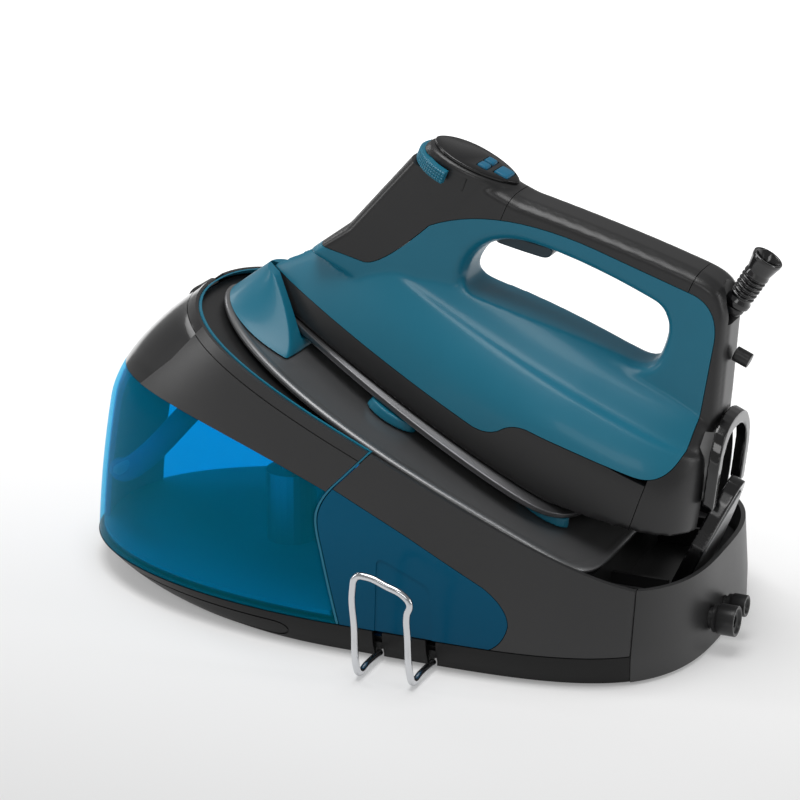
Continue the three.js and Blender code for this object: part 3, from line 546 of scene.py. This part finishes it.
cut(bench, workObject(block((-200, -90, 0), (14, 90, 200))), "INTERSECT")
ironPiece(bench, "frontSpineSkin", glossBlack, ["front_spine"], ("INTERSECT", prism(spine, 5.5)))
ironPiece(bench, "frontColumnSkin", blackPlastic, ["front_column"],
          ("DIFFERENCE", prism(offset(spine, 0.35), 5.85)), *pockets)
discard(bench)
discard(ironForm)
print("iron skins made")


# The base's form.
base = {"nose": 199, "tail": 195, "half": 116, "lean": 0.19, "tray": 17.6, "floor": 2, "top": 182,
        "wall": 2.5, "rim": 120.2, "rimSlope": 0.4, "rearRim": 47, "seam": 168, "seal": 1.4,
        "sealInset": 3.2, "gap": 0.4}


def baseRing(height, inset=0):
    drop = 37 * (max(0, height - 100) / 64) ** 1.75
    return {"front": -(base["nose"] - 9 * (height / 100) ** 2 - drop - inset),
            "rear": base["tail"] - 0.05 * max(0, height - 20) - inset, "wide": 0,
            "half": base["half"] - base["lean"] * max(0, height - 15) - inset,
            "nose": (2.05, 2.15), "tail": (4.4, 3.1)}


def baseForm(low, high, inset=0, rings=44, points=220):
    return workObject(stack(low, high, rings, points, lambda height: baseRing(height, inset)))


def baseShell(inset, depth, low=base["tray"] + base["gap"], high=base["top"]):
    shell = baseForm(low, high, inset)
    return cut(shell, baseForm(low - 1, high + 1, inset + depth))


def rimHeight(x):
    return base["rim"] - base["rimSlope"] * x


rimRear = (base["rim"] - base["rearRim"]) / base["rimSlope"]


def belowRim(drop=0):
    return prism([(-far, -5), (far, -5), (far, base["rearRim"] - drop),
                  (rimRear - 14, base["rearRim"] + 5.8 - drop), (-far, rimHeight(-far) - drop)], far)


splitLine = [(13.6, 7), (36, -1), (54, -7), (70, -12), (79, -12), (89, -7), (101, 4), (117, 19), (125, 26)]
splitHeights = [13.6 + 1.6 * i for i in range(71)]


def besideSplit(side, shift):                 # side -1 is ahead of the tank's split line, 1 is behind it
    line = [(between(splitLine, z) + side * shift, z) for z in splitHeights]
    return prism([(side * far, -5), (line[0][0], -5), *line, (line[-1][0], 200), (side * far, 200)], far)


def windowSide(grow):
    return outline((-40, 13.6), (84, 15 - grow), (102 + grow, 17 - grow, 104 + grow, 32),
                   (103 + grow, 42 + grow, 88, 51 + grow), (40, 73 + grow), (-6, 92.5 + grow),
                   (-40, 108 + grow))


def basePiece(source, name, body, finish, replaced, *steps, slotName=None):
    for operation, tool in steps:
        cut(source, workObject(tool) if isinstance(tool, bmesh.types.BMesh) else tool, operation)
    return pieceFrom(meshOf(source), name, toMetres, body, finish, replaced, 28)


# A shallow mark in the outer wall: everything inside the outline, down to a depth.
def wallMark(points, depth, inset=0):
    mark = baseShell(inset - 1.5, depth + 1.5, 4, base["top"] - 1)
    return cut(mark, workObject(prism(points, far)), "INTERSECT")


def trayRing(height, inset=0):
    lift = max(0, min(1, (height - base["floor"]) / (base["tray"] - base["floor"])))
    ring = baseRing(height, inset)
    ring["front"] = -(150 + 49 * lift ** 0.5 - inset)
    ring["half"] = base["half"] - 4 * (1 - lift) ** 2 - inset
    return ring


tray = workObject(stack(base["floor"], base["tray"], 14, 220, trayRing))
cut(tray, workObject(stack(4.5, 21, 8, 220, lambda height: trayRing(height - 2.5, 2.5))))
hookX = (29, 61)
steps = []
for x in hookX:
    steps.append(("DIFFERENCE", block((x - 3, -130, 0.5), (x + 3, -111.8, 19))))
    steps.append(("DIFFERENCE", block((x - 2.4, -120, 1), (x + 2.4, -86, 6.4))))
steps.append(("INTERSECT", block((-far, -far, 0), (base["seam"] - 0.2, far, 40))))
insertSide = outline((-150, 7.5), (-146, 4.6, -136, 4), (-40, 3.8), (-28, 4, -27, 8.5), (-28, 12, -38, 12.2),
                     (-128, 12.6), (-147, 12, -150, 7.5))[:-1]
insertRim = workObject(stack(1, 16.6, 10, 220, lambda height: trayRing(height, -3)))
cut(insertRim, workObject(stack(0, 17.6, 10, 220, lambda height: trayRing(height, 0.7))))
cut(insertRim, workObject(prism(offset(insertSide, 0.8), far)), "INTERSECT")
cut(insertRim, workObject(prism(insertSide, far)))
basePiece(tray, "traySkin", "base", trayBlack, ["bottom_tray"], *steps, ("DIFFERENCE", insertRim))

# The body: side walls down to the tray, with the split, the windows and the rear housing.
body = baseShell(0, base["wall"])
basePiece(body, "bodySkin", "base", charcoalPlastic, ["base_body"],
          ("INTERSECT", belowRim()), ("INTERSECT", besideSplit(1, base["gap"])),
          ("INTERSECT", block((-far, -far, 0), (base["seam"] - base["gap"], far, 200))),
          ("DIFFERENCE", prism(windowSide(base["gap"]), far)))
across = block((27, -far, 18), (29.5, far, 96.8))
bulkhead = cut(baseForm(18, base["top"], 2.9), workObject(across), "INTERSECT")
basePiece(bulkhead, "bulkhead", "base", bulkheadPlastic, [], ("INTERSECT", besideSplit(1, 4)),
          slotName="tank_blue")

glands = {"cord_gland": (-27, 6.4), "hose_gland": (-4, 4.4)}
housing = baseForm(base["floor"], base["top"], 1.2, 60)
cut(housing, baseForm(base["floor"] + 2, base["top"] + 1, 3.7, 60))
steps = [("INTERSECT", belowRim()), ("INTERSECT", block((base["seam"], -far, 0), (far, far, 200)))]
for y, radius in glands.values():
    bore = bmesh.new()
    bmesh.ops.create_cone(bore, cap_ends=True, segments=48, radius1=radius, radius2=radius, depth=60)
    bmesh.ops.rotate(bore, matrix=Matrix.Rotation(pi / 2, 3, "Y"), verts=bore.verts)
    bmesh.ops.translate(bore, vec=(190, y, 20), verts=bore.verts)
    steps.append(("DIFFERENCE", bore))
basePiece(housing, "rearHousingSkin", "base", charcoalPlastic, ["rear_housing"], *steps)

hookMark = outline((26, 54), (26, 57, 29, 56.5), (53, 47.5), (57, 46, 57, 41), (61, 16), (61, 12, 57, 12),
                   (32, 12), (28, 12, 28, 16), (26, 54))[:-1]
for name, side in (("near", -1), ("far", 1)):
    pane = baseShell(0.05, 2)
    steps = [("INTERSECT", prism(windowSide(0), far)), ("INTERSECT", besideSplit(1, base["gap"])),
             ("INTERSECT", block((-far, min(0, side * far), 0), (far, max(0, side * far), 200)))]
    if side < 0:
        steps += [("DIFFERENCE", wallMark(offset(hookMark, 0.9), 0.6)), ("DIFFERENCE", wallMark(
            outline((38, 16), (38, 44), (40, 44), (40, 16)), 0.5))]
    basePiece(pane, "windowSkin_" + name, "base", windowBlue, ["side_window_" + name], *steps)
print("base skins made")


# The tank, its cover and the seal.
def coverLine(x):
    return 122 - 33 * (max(0, x + 185) / 179) ** 2


def coverSide(shift, edge):                   # everything from the cover's lower edge to a height
    line = [(x, coverLine(x) + shift) for x in range(-220, 41, 4)]
    return prism([*line, (40, edge), (-220, edge)], far)


tank = {"joint": base["seal"] + 2 * base["gap"], "noseLow": (-147, 121), "noseHigh": (-103, 163),
        "noseDip": 4.8, "lid": -17.4, "arm": 7, "step": 1.8}
shell = baseForm(18, base["top"], 0, 60, 260)
hollow = baseForm(20.5, base["top"] + 1, base["wall"], 60, 260)
cut(hollow, workObject(besideSplit(-1, tank["joint"] + base["wall"])), "INTERSECT")
cut(shell, workObject(besideSplit(-1, tank["joint"])), "INTERSECT")
cut(shell, hollow)

# Clear tinted tank: light passes through it, with a dark teal haze and a glossy outside.
def clearTint(name, tint, haze, hazeTone):
    finish = Finish(name)
    cloud = finish.noise(14, 3)
    front = finish.node("ShaderNodeLayerWeight", None, {"Blend": 0.35}, "Facing")
    lamp = finish.node("ShaderNodeBsdfTransparent", None, {"Color": tint})
    gloss = finish.surface(Base_Color=finish.mixed(cloud, hazeTone, tuple(c * 1.25 for c in hazeTone)),
                           Roughness=cloud * 0.06 + 0.08, Specular_IOR_Level=0.14)
    share = (front * front * 0.25 + cloud * 0.04 + haze).clamped()
    mix = finish.node("ShaderNodeMixShader", None, {0: share, 1: lamp, 2: gloss})
    finish.feed(finish.output.inputs["Surface"], mix)
    return finish.material


tankClear = clearTint("tankClear", (0.2, 0.76, 1.0), 0.14, (0.0004, 0.3, 0.38))
basePiece(copyOf(shell), "tankSkin", "tank", tankClear, ["water_tank"],
          ("INTERSECT", coverSide(-0.2, -5)))

# The arm, the nose band and the floor that show through the tank's walls.
armPath = [(-112, -20, 118), (-122, -42, 104), (-134, -58, 86), (-150, -62, 70), (-166, -50, 60),
           (-178, -30, 54)]
armCurve = bpy.data.curves.new("tankArm", "CURVE")
armCurve.dimensions = "3D"
armCurve.bevel_depth = tank["arm"]
armCurve.bevel_resolution = 6
run = armCurve.splines.new("NURBS")
run.points.add(len(armPath) - 1)
for point, place in zip(run.points, armPath):
    point.co = (*place, 1)
run.use_endpoint_u = True
run.order_u = 4
armCurve.resolution_u = 10
armCurve.use_fill_caps = True
arm = bpy.data.objects.new("tankArm", armCurve)
scene.collection.objects.link(arm)
armMesh = bpy.data.meshes.new_from_object(arm.evaluated_get(bpy.context.evaluated_depsgraph_get()))
discard(arm)
bm = bmesh.new()
bm.from_mesh(armMesh)
pieceFrom(bm, "tankArm", toMetres, "tank", insideDark, [], 60, True)
band = baseForm(21, 117, 3.2, 30, 180)
cut(band, baseForm(20, 118, 6.2, 30, 180))
cut(band, workObject(block((-far, -34, 0), (-150, 34, 200))), "INTERSECT")
basePiece(band, "tankRibs", "tank", insideDark, [], ("DIFFERENCE", block((-far, -18, 104), (-100, 18, 200))),
          slotName="tank_blue")
floorPan = baseForm(21, 23, 3.2, 2, 180)
basePiece(floorPan, "tankFloor", "tank", insidePlastic, [], ("INTERSECT", besideSplit(-1, 6)),
          slotName="tank_blue")

# The cover: a matt shell whose nose is a glossy dished panel, with a sharp crease between them.
cover = copyOf(shell)
discard(shell)
cut(cover, workObject(belowRim()), "INTERSECT")
cut(cover, workObject(coverSide(0.2, 220)), "INTERSECT")
cut(cover, baseForm(60, base["top"] + 1, base["wall"]))
lid = cut(baseForm(60, base["top"], 1.4), workObject(besideSplit(-1, tank["joint"])), "INTERSECT")
lidSlab = block((-160, -110, tank["lid"] - 2), (30, 110, tank["lid"]))
bmesh.ops.transform(lidSlab, matrix=toMetres.inverted() @ tiltedToWorld, verts=lidSlab.verts)
cut(lid, workObject(lidSlab), "INTERSECT")
cut(lid, workObject(coverSide(2, 220)), "INTERSECT")
cut(cover, lid, "UNION")
lipLine = wallMark([(-far, rimHeight(-far) - 7.2), (60, rimHeight(60) - 7.2), (60, rimHeight(60) - 6.4),
                    (-far, rimHeight(-far) - 6.4)], 0.7)
cut(cover, lipLine)
low, high = Vector(tank["noseLow"]), Vector(tank["noseHigh"])
step = [low + (low - high) * 2, low, low.lerp(high, 0.5) + Vector((1.5, -1.5)), high, high + (high - low) * 2]
crease = [*step, Vector((-far, 400)), Vector((-far, -100))]


def noseDish(vert):                           # the nose panel sinks most beside the crease
    along = (high - low).normalized()
    away = Vector((vert.co.x, vert.co.z)) - low
    behind = away.x * along.y - away.y * along.x
    depth = tank["noseDip"] * (1 - smoothRamp(-behind / 30))
    middle = smoothRamp((abs(vert.co.y) - 18) / 30)
    below = smoothRamp((rimHeight(vert.co.x) - vert.co.z - 3) / 14)
    over = smoothRamp((vert.co.z - coverLine(vert.co.x) + 1) / 8)
    inward = Vector((-vert.co.x * 0.4, -vert.co.y, -6)).normalized()
    vert.co += inward * depth * middle * below * over


nose = cut(copyOf(cover), workObject(prism(crease, far)), "INTERSECT")
cut(cover, workObject(prism(crease, far)))
stepBack = [point + Vector((tank["step"], 0)) for point in step[::-1]]
stepWall = cut(baseShell(0.5, 7), workObject(prism(step + stepBack, far)), "INTERSECT")
cut(stepWall, workObject(belowRim(0.5)), "INTERSECT")
cut(stepWall, workObject(coverSide(0.6, 220)), "INTERSECT")
cut(cover, stepWall, "UNION")
bm = meshOf(nose)
for vert in bm.verts:
    noseDish(vert)
nose = workObject(bm)


def flapBox(grow):
    return block((-174 - grow, -17 - grow, 100), (-148 + grow, 17 + grow, 200))


flap = cut(copyOf(nose), workObject(flapBox(0)), "INTERSECT")
pieceFrom(meshOf(flap), "flapSkin", toMetres, "flap", glossBlack, ["filler_flap"], 28)
basePiece(nose, "coverNose", "tank", glossBlack, [], ("DIFFERENCE", flapBox(base["gap"])),
          ("DIFFERENCE", block((-144, -9.4, 158), (-120, 9.4, 180))), slotName="gloss_black")
basePiece(cover, "coverSkin", "tank", charcoalPlastic, ["tank_cover"],
          ("DIFFERENCE", block((-144, -9.4, 158), (-120, 9.4, 180))))

# The thin seal down the split and round the rim.
sealOuter, sealDepth = base["sealInset"], base["sealInset"] + base["seal"]
down = baseShell(0.2, sealDepth - 0.2)
band = cut(workObject(besideSplit(-1, base["gap"])), workObject(besideSplit(-1, base["gap"] + base["seal"])))
cut(down, band, "INTERSECT")
cut(down, workObject(belowRim()), "INTERSECT")
around = baseForm(60, base["top"], sealOuter)
cut(around, baseForm(50, base["top"] + 1, sealDepth))
rimBand = [(-far, rimHeight(-far) - 3.2), (far, rimHeight(far) - 3.2), (far, rimHeight(far) + 0.5),
           (-far, rimHeight(-far) + 0.5)]
cut(around, workObject(prism(rimBand, far)), "INTERSECT")
cut(around, workObject(besideSplit(-1, base["gap"])), "INTERSECT")
basePiece(down, "sealSkin", "tank", tealPlastic, ["tank_seal"], ("UNION", around))
print("tank made")


# The rest plate and the sole.
def plateRing(inset):
    return {"front": -124 + inset, "rear": 158.5 - inset, "wide": 96, "half": 91 - inset,
            "nose": (2.5, 1.7), "tail": (7, 7)}


def soleRing(inset):
    return {"front": iron["toe"] + inset, "rear": 134 - inset, "wide": 98, "half": 68 - inset,
            "nose": (1.45, 1.12), "tail": (3.2, 3.2)}


# The plate's section from its hollow underside, round the rim, to the flat top: (inset, height) pairs.
plateSection = [(5, -8.6), (4.2, -10.4), (2.4, -10.4), (1.1, -9.9), (0.3, -9.1), (0, -8.2), (0.3, -7.3),
                (1.1, -6.5), (2.3, -6.05), (3.6, -6), (4.6, -6.15), (5.4, -6.45), (6.4, -6.65), (8, -6.7)]


def plateStep(step):
    inset, height = plateSection[round(step)]
    return dict(plateRing(inset), height=height)


last = len(plateSection) - 1
bm = stack(0, last, last, 240, plateStep)
pieceFrom(bm, "restPlateSkin", tiltedToWorld, "base", plateMetal, ["rest_plate"], 50)

bm = stack(0, 4, 12, 240, lambda height: soleRing(
    1.6 * (1 - min(1, height / 1.6)) ** 2 + 0.5 * max(0, (height - 3.4) / 0.6) ** 2))
sole = workObject(bm)
for x, y in ((-84, 0), (-66, 7), (-46, 14), (-24, 21), (0, 28), (26, 34), (52, 38), (80, 40)):
    for side in ((1,) if y == 0 else (-1, 1)):
        hole = bmesh.new()
        bmesh.ops.create_cone(hole, cap_ends=True, segments=24, radius1=1.6, radius2=1.6, depth=2.6)
        bmesh.ops.translate(hole, vec=(x, side * y, 0.3), verts=hole.verts)
        cut(sole, workObject(hole))
pieceFrom(meshOf(sole), "soleSkin", tiltedToWorld, "iron", soleMetal, ["soleplate"], 50)


def toeRing(height):
    rise = (height + 5.7) / 25.7
    spread = rise ** 1.3 if rise > 0 else 0
    return {"front": -121.5 + 15 * rise, "rear": -60 - 37 * spread, "wide": -64 - 34 * spread,
            "half": 47 - 33.5 * max(0, rise) ** 0.8, "nose": (1.9, 1.7), "tail": (8, 8)}


holder = workObject(stack(-5.7, 20, 30, 160, toeRing))
shift = 1 / tan(radians(72))


def pocketRing(height):
    ring = soleRing(-1.4)
    for key in ("front", "rear", "wide"):
        ring[key] += max(0, height - 4) * shift
    return ring


def toeRoom(height):
    ring = ironRing(height)
    ring["front"] -= 1.4
    ring["half"] += 1.4
    return ring


cut(holder, workObject(stack(-2, 30, 30, 160, pocketRing)))
cut(holder, workObject(stack(3, 32, 30, 160, toeRoom)))
pieceFrom(meshOf(holder), "toeHolderSkin", tiltedToWorld, "base", tealPlastic, ["toe_holder"], 30)
print("plate, sole and toe holder made")


# Controls on the iron.
dialPiece = {"turn": radians(176), "steps": 176, "rows": 18, "knurl": 0.45}
bm = bmesh.new()
profile = [(iron["dialInner"], iron["dialLow"])]
for row in range(dialPiece["rows"] + 1):
    t = row / dialPiece["rows"]
    rise = t * (iron["dialHigh"] - iron["dialLow"])
    profile.append((iron["dialOuter"] - 0.9 * abs(2 * t - 1) ** 8, iron["dialLow"] + rise))
profile.append((iron["dialInner"], iron["dialHigh"]))
face = bm.faces.new([bm.verts.new((r * cos(dialPiece["turn"] / 2), -r * sin(dialPiece["turn"] / 2), z))
                     for r, z in profile])
bmesh.ops.rotate(bm, verts=bm.verts, matrix=Matrix.Rotation(pi, 3, "Z"))
bmesh.ops.spin(bm, geom=[face, *face.edges, *face.verts], cent=(0, 0, 0), axis=(0, 0, 1),
               angle=dialPiece["turn"], steps=dialPiece["steps"])
for vert in bm.verts:
    reach = hypot(vert.co.x, vert.co.y)
    step = round(degrees(atan2(vert.co.y, vert.co.x)) + 360)
    row = round((vert.co.z - iron["dialLow"]) / (iron["dialHigh"] - iron["dialLow"]) * dialPiece["rows"])
    if reach > iron["dialInner"] + 3 and (step % 4 == 0 or row % 4 == 1):
        vert.co.x *= 1 - dialPiece["knurl"] / reach
        vert.co.y *= 1 - dialPiece["knurl"] / reach
bmesh.ops.translate(bm, verts=bm.verts, vec=(iron["dialAt"], 0, 0))
pieceFrom(bm, "dialSkin", tiltedToWorld, "dial", tealPlastic, ["steam_dial"], 25, recalc=True)


def easedBlock(low, high, ease, segments=3):
    bm = block(low, high)
    bmesh.ops.bevel(bm, geom=list(bm.edges), offset=ease, segments=segments, profile=0.5, affect="EDGES",
                    material=-1)
    return bm


def panelRing(height):
    edge = 0.7 * max(0, (height - 139.2) / 0.6) ** 2
    return {"front": -43 + edge, "rear": 11 - edge, "wide": -20, "half": 17.5 - edge, "nose": (2, 1.7),
            "tail": (2, 1.5)}


panel = workObject(stack(138.3, 139.8, 6, 120, panelRing))
keyBodies = {"program_button": "program_key", "steam_button": "steam_key", "power_button": "power_key"}
for name, (x, y, length, width) in podButtons.items():
    cut(panel, workObject(block((x - length / 2 - 0.4, y - width / 2 - 0.4, 136),
                                (x + length / 2 + 0.4, y + width / 2 + 0.4, 142))))
    cap = easedBlock((x - length / 2, y - width / 2, 135.4), (x + length / 2, y + width / 2, 141), 1.7, 6)
    pieceFrom(cap, name + "Cap", tiltedToWorld, keyBodies[name], tealButton, [name], 40)
pieceFrom(meshOf(panel), "podPanelSkin", tiltedToWorld, "iron", panelBlack, ["pod_panel"], 40)

lever = prism(outline((12, 108), (12, 103.5, 16, 103.5), (30, 106, 41, 108.5), (47, 110, 46, 115), (44, 117),
                      (30, 113, 18, 112), (12, 112, 12, 108))[:-1], 6.6)
rimEdges = [e for e in lever.edges if abs(e.verts[0].co.y - e.verts[1].co.y) < 0.01]
bmesh.ops.bevel(lever, geom=rimEdges, offset=1.1, segments=4, profile=0.5, affect="EDGES", material=-1)
pieceFrom(lever, "triggerSkin", tiltedToWorld, "trigger", leverPlastic, ["steam_trigger"], 40)


# Turned pieces: the hose sleeve and the two glands.
def turned(profile, turn, place, name, body, finish, replaced, segments=64):
    bm = bmesh.new()
    verts = [bm.verts.new((r, 0, z)) for r, z in profile]
    edges = [bm.edges.new(pair) for pair in zip(verts, verts[1:])]
    bmesh.ops.spin(bm, geom=verts + edges, cent=(0, 0, 0), axis=(0, 0, 1), angle=2 * pi, steps=segments,
                   use_merge=True)
    bmesh.ops.remove_doubles(bm, verts=bm.verts, dist=1e-4)
    bmesh.ops.rotate(bm, verts=bm.verts, matrix=turn)
    return pieceFrom(bm, name, place, body, finish, replaced, 40, recalc=True)


def easedSteps(points, ease=0.35):            # a profile whose corners are cut by a small radius
    eased = [points[0]]
    for before, here, after in zip(points, points[1:], points[2:]):
        here = Vector(here)
        for other in (before, after):
            way = Vector(other) - here
            eased.append(tuple(here + way * min(0.45, ease / max(way.length, 1e-6))))
    return [*eased, points[-1]]


sleeve = [(0, 1), (7.2, 1), (7.4, 4)]
for i in range(6):
    z = 6 + i * 2.75
    sleeve += [(5.9, z), (5.9, z + 0.9), (7.1 + 0.06 * i, z + 1.25), (7.1 + 0.06 * i, z + 2.3)]
sleeve += [(7.0, 24.4), (8.7, 31.4), (8.9, 32), (8.9, 34), (7.5, 34), (5.4, 25), (5.4, 13), (0, 13)]
hosePlace = tiltedToWorld @ Matrix.Translation(iron["hoseAt"])
lean = Matrix.Rotation(iron["hoseLean"], 3, "Y")
turned(easedSteps(sleeve, 0.3), lean, hosePlace, "hoseSleeve", "hose_end", glossBlack, ["hose_relief"])
for name, y, radius, neck, bore, start, end in (("cord_gland", -27, 8.8, 6, 3.6, 195.4, 208.5),
                                                ("hose_gland", -4, 6.3, 4, 2.4, 196, 207)):
    shape = [(bore, start - 7), (neck, start - 7), (neck, start), (radius - 0.7, start),
             (radius - 0.7, start + 2.4), (radius, start + 3), (radius, end), (radius - 1.8, end),
             (radius - 2.4, end - 1.6), (bore, end - 1.6), (bore, start - 7)]
    turned(easedSteps(shape), Matrix.Rotation(pi / 2, 3, "Y"), toMetres @ Matrix.Translation((0, y, 20)),
           name + "Skin", "base", blackPlastic, [name], 48)

# The wire hook.
hook = {"wire": 2.0, "out": -143, "low": 4, "top": 62, "left": 29, "right": 61}
left, right, out, low, top = hook["left"], hook["right"], hook["out"], hook["low"], hook["top"]
route = [(left, -112, low), (left, -130, low), (left, out + 3, low - 0.5), (left, out, low + 3),
         (left - 1.3, out, top / 2), (left - 2.2, out, top - 8), (left, out, top - 1), (left + 6, out, top),
         (left + 18, out, top - 3.5), (right - 4, out, top - 7.5), (right - 0.6, out, top - 12),
         (right - 2.2, out, top - 18), (right - 1.8, out, top / 2), (right, out, low + 3),
         (right, out + 3, low - 0.5), (right, -130, low), (right, -112, low)]
wire = bpy.data.curves.new("hookWire", "CURVE")
wire.dimensions = "3D"
wire.bevel_depth = hook["wire"]
wire.bevel_resolution = 6
wire.use_fill_caps = True
run = wire.splines.new("BEZIER")
run.bezier_points.add(len(route) - 1)
for point, place in zip(run.bezier_points, route):
    point.co = place
    point.handle_left_type = point.handle_right_type = "AUTO"
run.resolution_u = 10
wireObject = bpy.data.objects.new("hookWire", wire)
scene.collection.objects.link(wireObject)
wireMesh = bpy.data.meshes.new_from_object(wireObject.evaluated_get(bpy.context.evaluated_depsgraph_get()))
discard(wireObject)
bm = bmesh.new()
bm.from_mesh(wireMesh)
pieceFrom(bm, "hookSkin", toMetres, "hook", brightSteel, ["cord_hook"], 60, recalc=True)

# Small moulded nodes, with their edges rounded.
places = ("front_near", "front_far", "rear_near", "rear_far")
small = {                                     # node: (finish, grid in metres, passes of easing)
    "heel_bow": (glossBlack, 0.0007, 5), "heel_stud": (blackPlastic, 0.0005, 4),
    "heel_stop": (glossBlack, 0.0007, 4), "heel_stop_face": (plateMetal, 0.0005, 3),
    "tank_latch": (glossBlack, 0.0005, 4), "hose_swivel": (blackPlastic, 0.0005, 4),
    **{"rest_pad_" + place: (tealPlastic, 0.0006, 8) for place in places},
    **{"foot_" + place: (blackRubber, 0.0004, 3) for place in places},
}
for node, settings in small.items():
    rounded(node, *settings)

# Nodes that keep their CAD shape.
kept = {
    blackPlastic: ["deck", "plate_post_near", "plate_post_far", "hook_guide_left", "hook_guide_right", "pump",
                   "tank_coupling", "trigger_switch"],
    brightSteel: ["boiler"], castAluminium: ["boiler_heater_ring", "steam_chamber", "water_filter"],
    machinedBrass: ["steam_valve"], greenBoard: ["control_board", "sensor_board"],
}
for finish, names in kept.items():
    for name in names:
        mesh = nodes[name].data
        for i in range(max(1, len(mesh.materials))):
            if i < len(mesh.materials):
                mesh.materials[i] = finish
            else:
                mesh.materials.append(finish)
print("small pieces made")


# The floor: pale paper with painted light. Painted shade makes it a little darker towards the camera, in a
# band in front of the iron and more towards +X, and a painted glow brightens it farther away.
floorBm = bmesh.new()
bmesh.ops.create_grid(floorBm, x_segments=1, y_segments=1, size=6)
floor = workObject(floorBm, "floor")
floorFinish = Finish("floorPaperPaintedLight")
fromMiddle = floorFinish.axis("Y") + 0.6
# painted light mask: 0 in a band across the floor in front of the iron, 1 far from it
away = fromMiddle.maths("ABSOLUTE", fromMiddle).above(0, 1.5)
across = floorFinish.axis("X").above(0.1, 0.9)
# painted shade: the band in front of the iron is darker, more so towards +X
near = floorFinish.mixed(across, (0.6, 0.6, 0.6), (0.5, 0.5, 0.5))
paintedShadePaper = floorFinish.mixed(away, near, (0.85, 0.85, 0.85))
# painted glow: the floor far from the iron emits light, though it is no lamp
paintedGlow = floorFinish.mixed(away, (0.0, 0.0, 0.0), (0.7, 0.7, 0.7))
fibre = floorFinish.noise(900, 2) * 0.05 + 0.88
floorFinish.surface(Base_Color=paintedShadePaper, Roughness=fibre, Specular_IOR_Level=0.2, Emission_Color=paintedGlow,
                    Emission_Strength=1.0)
floor.data.materials.append(floorFinish.material)
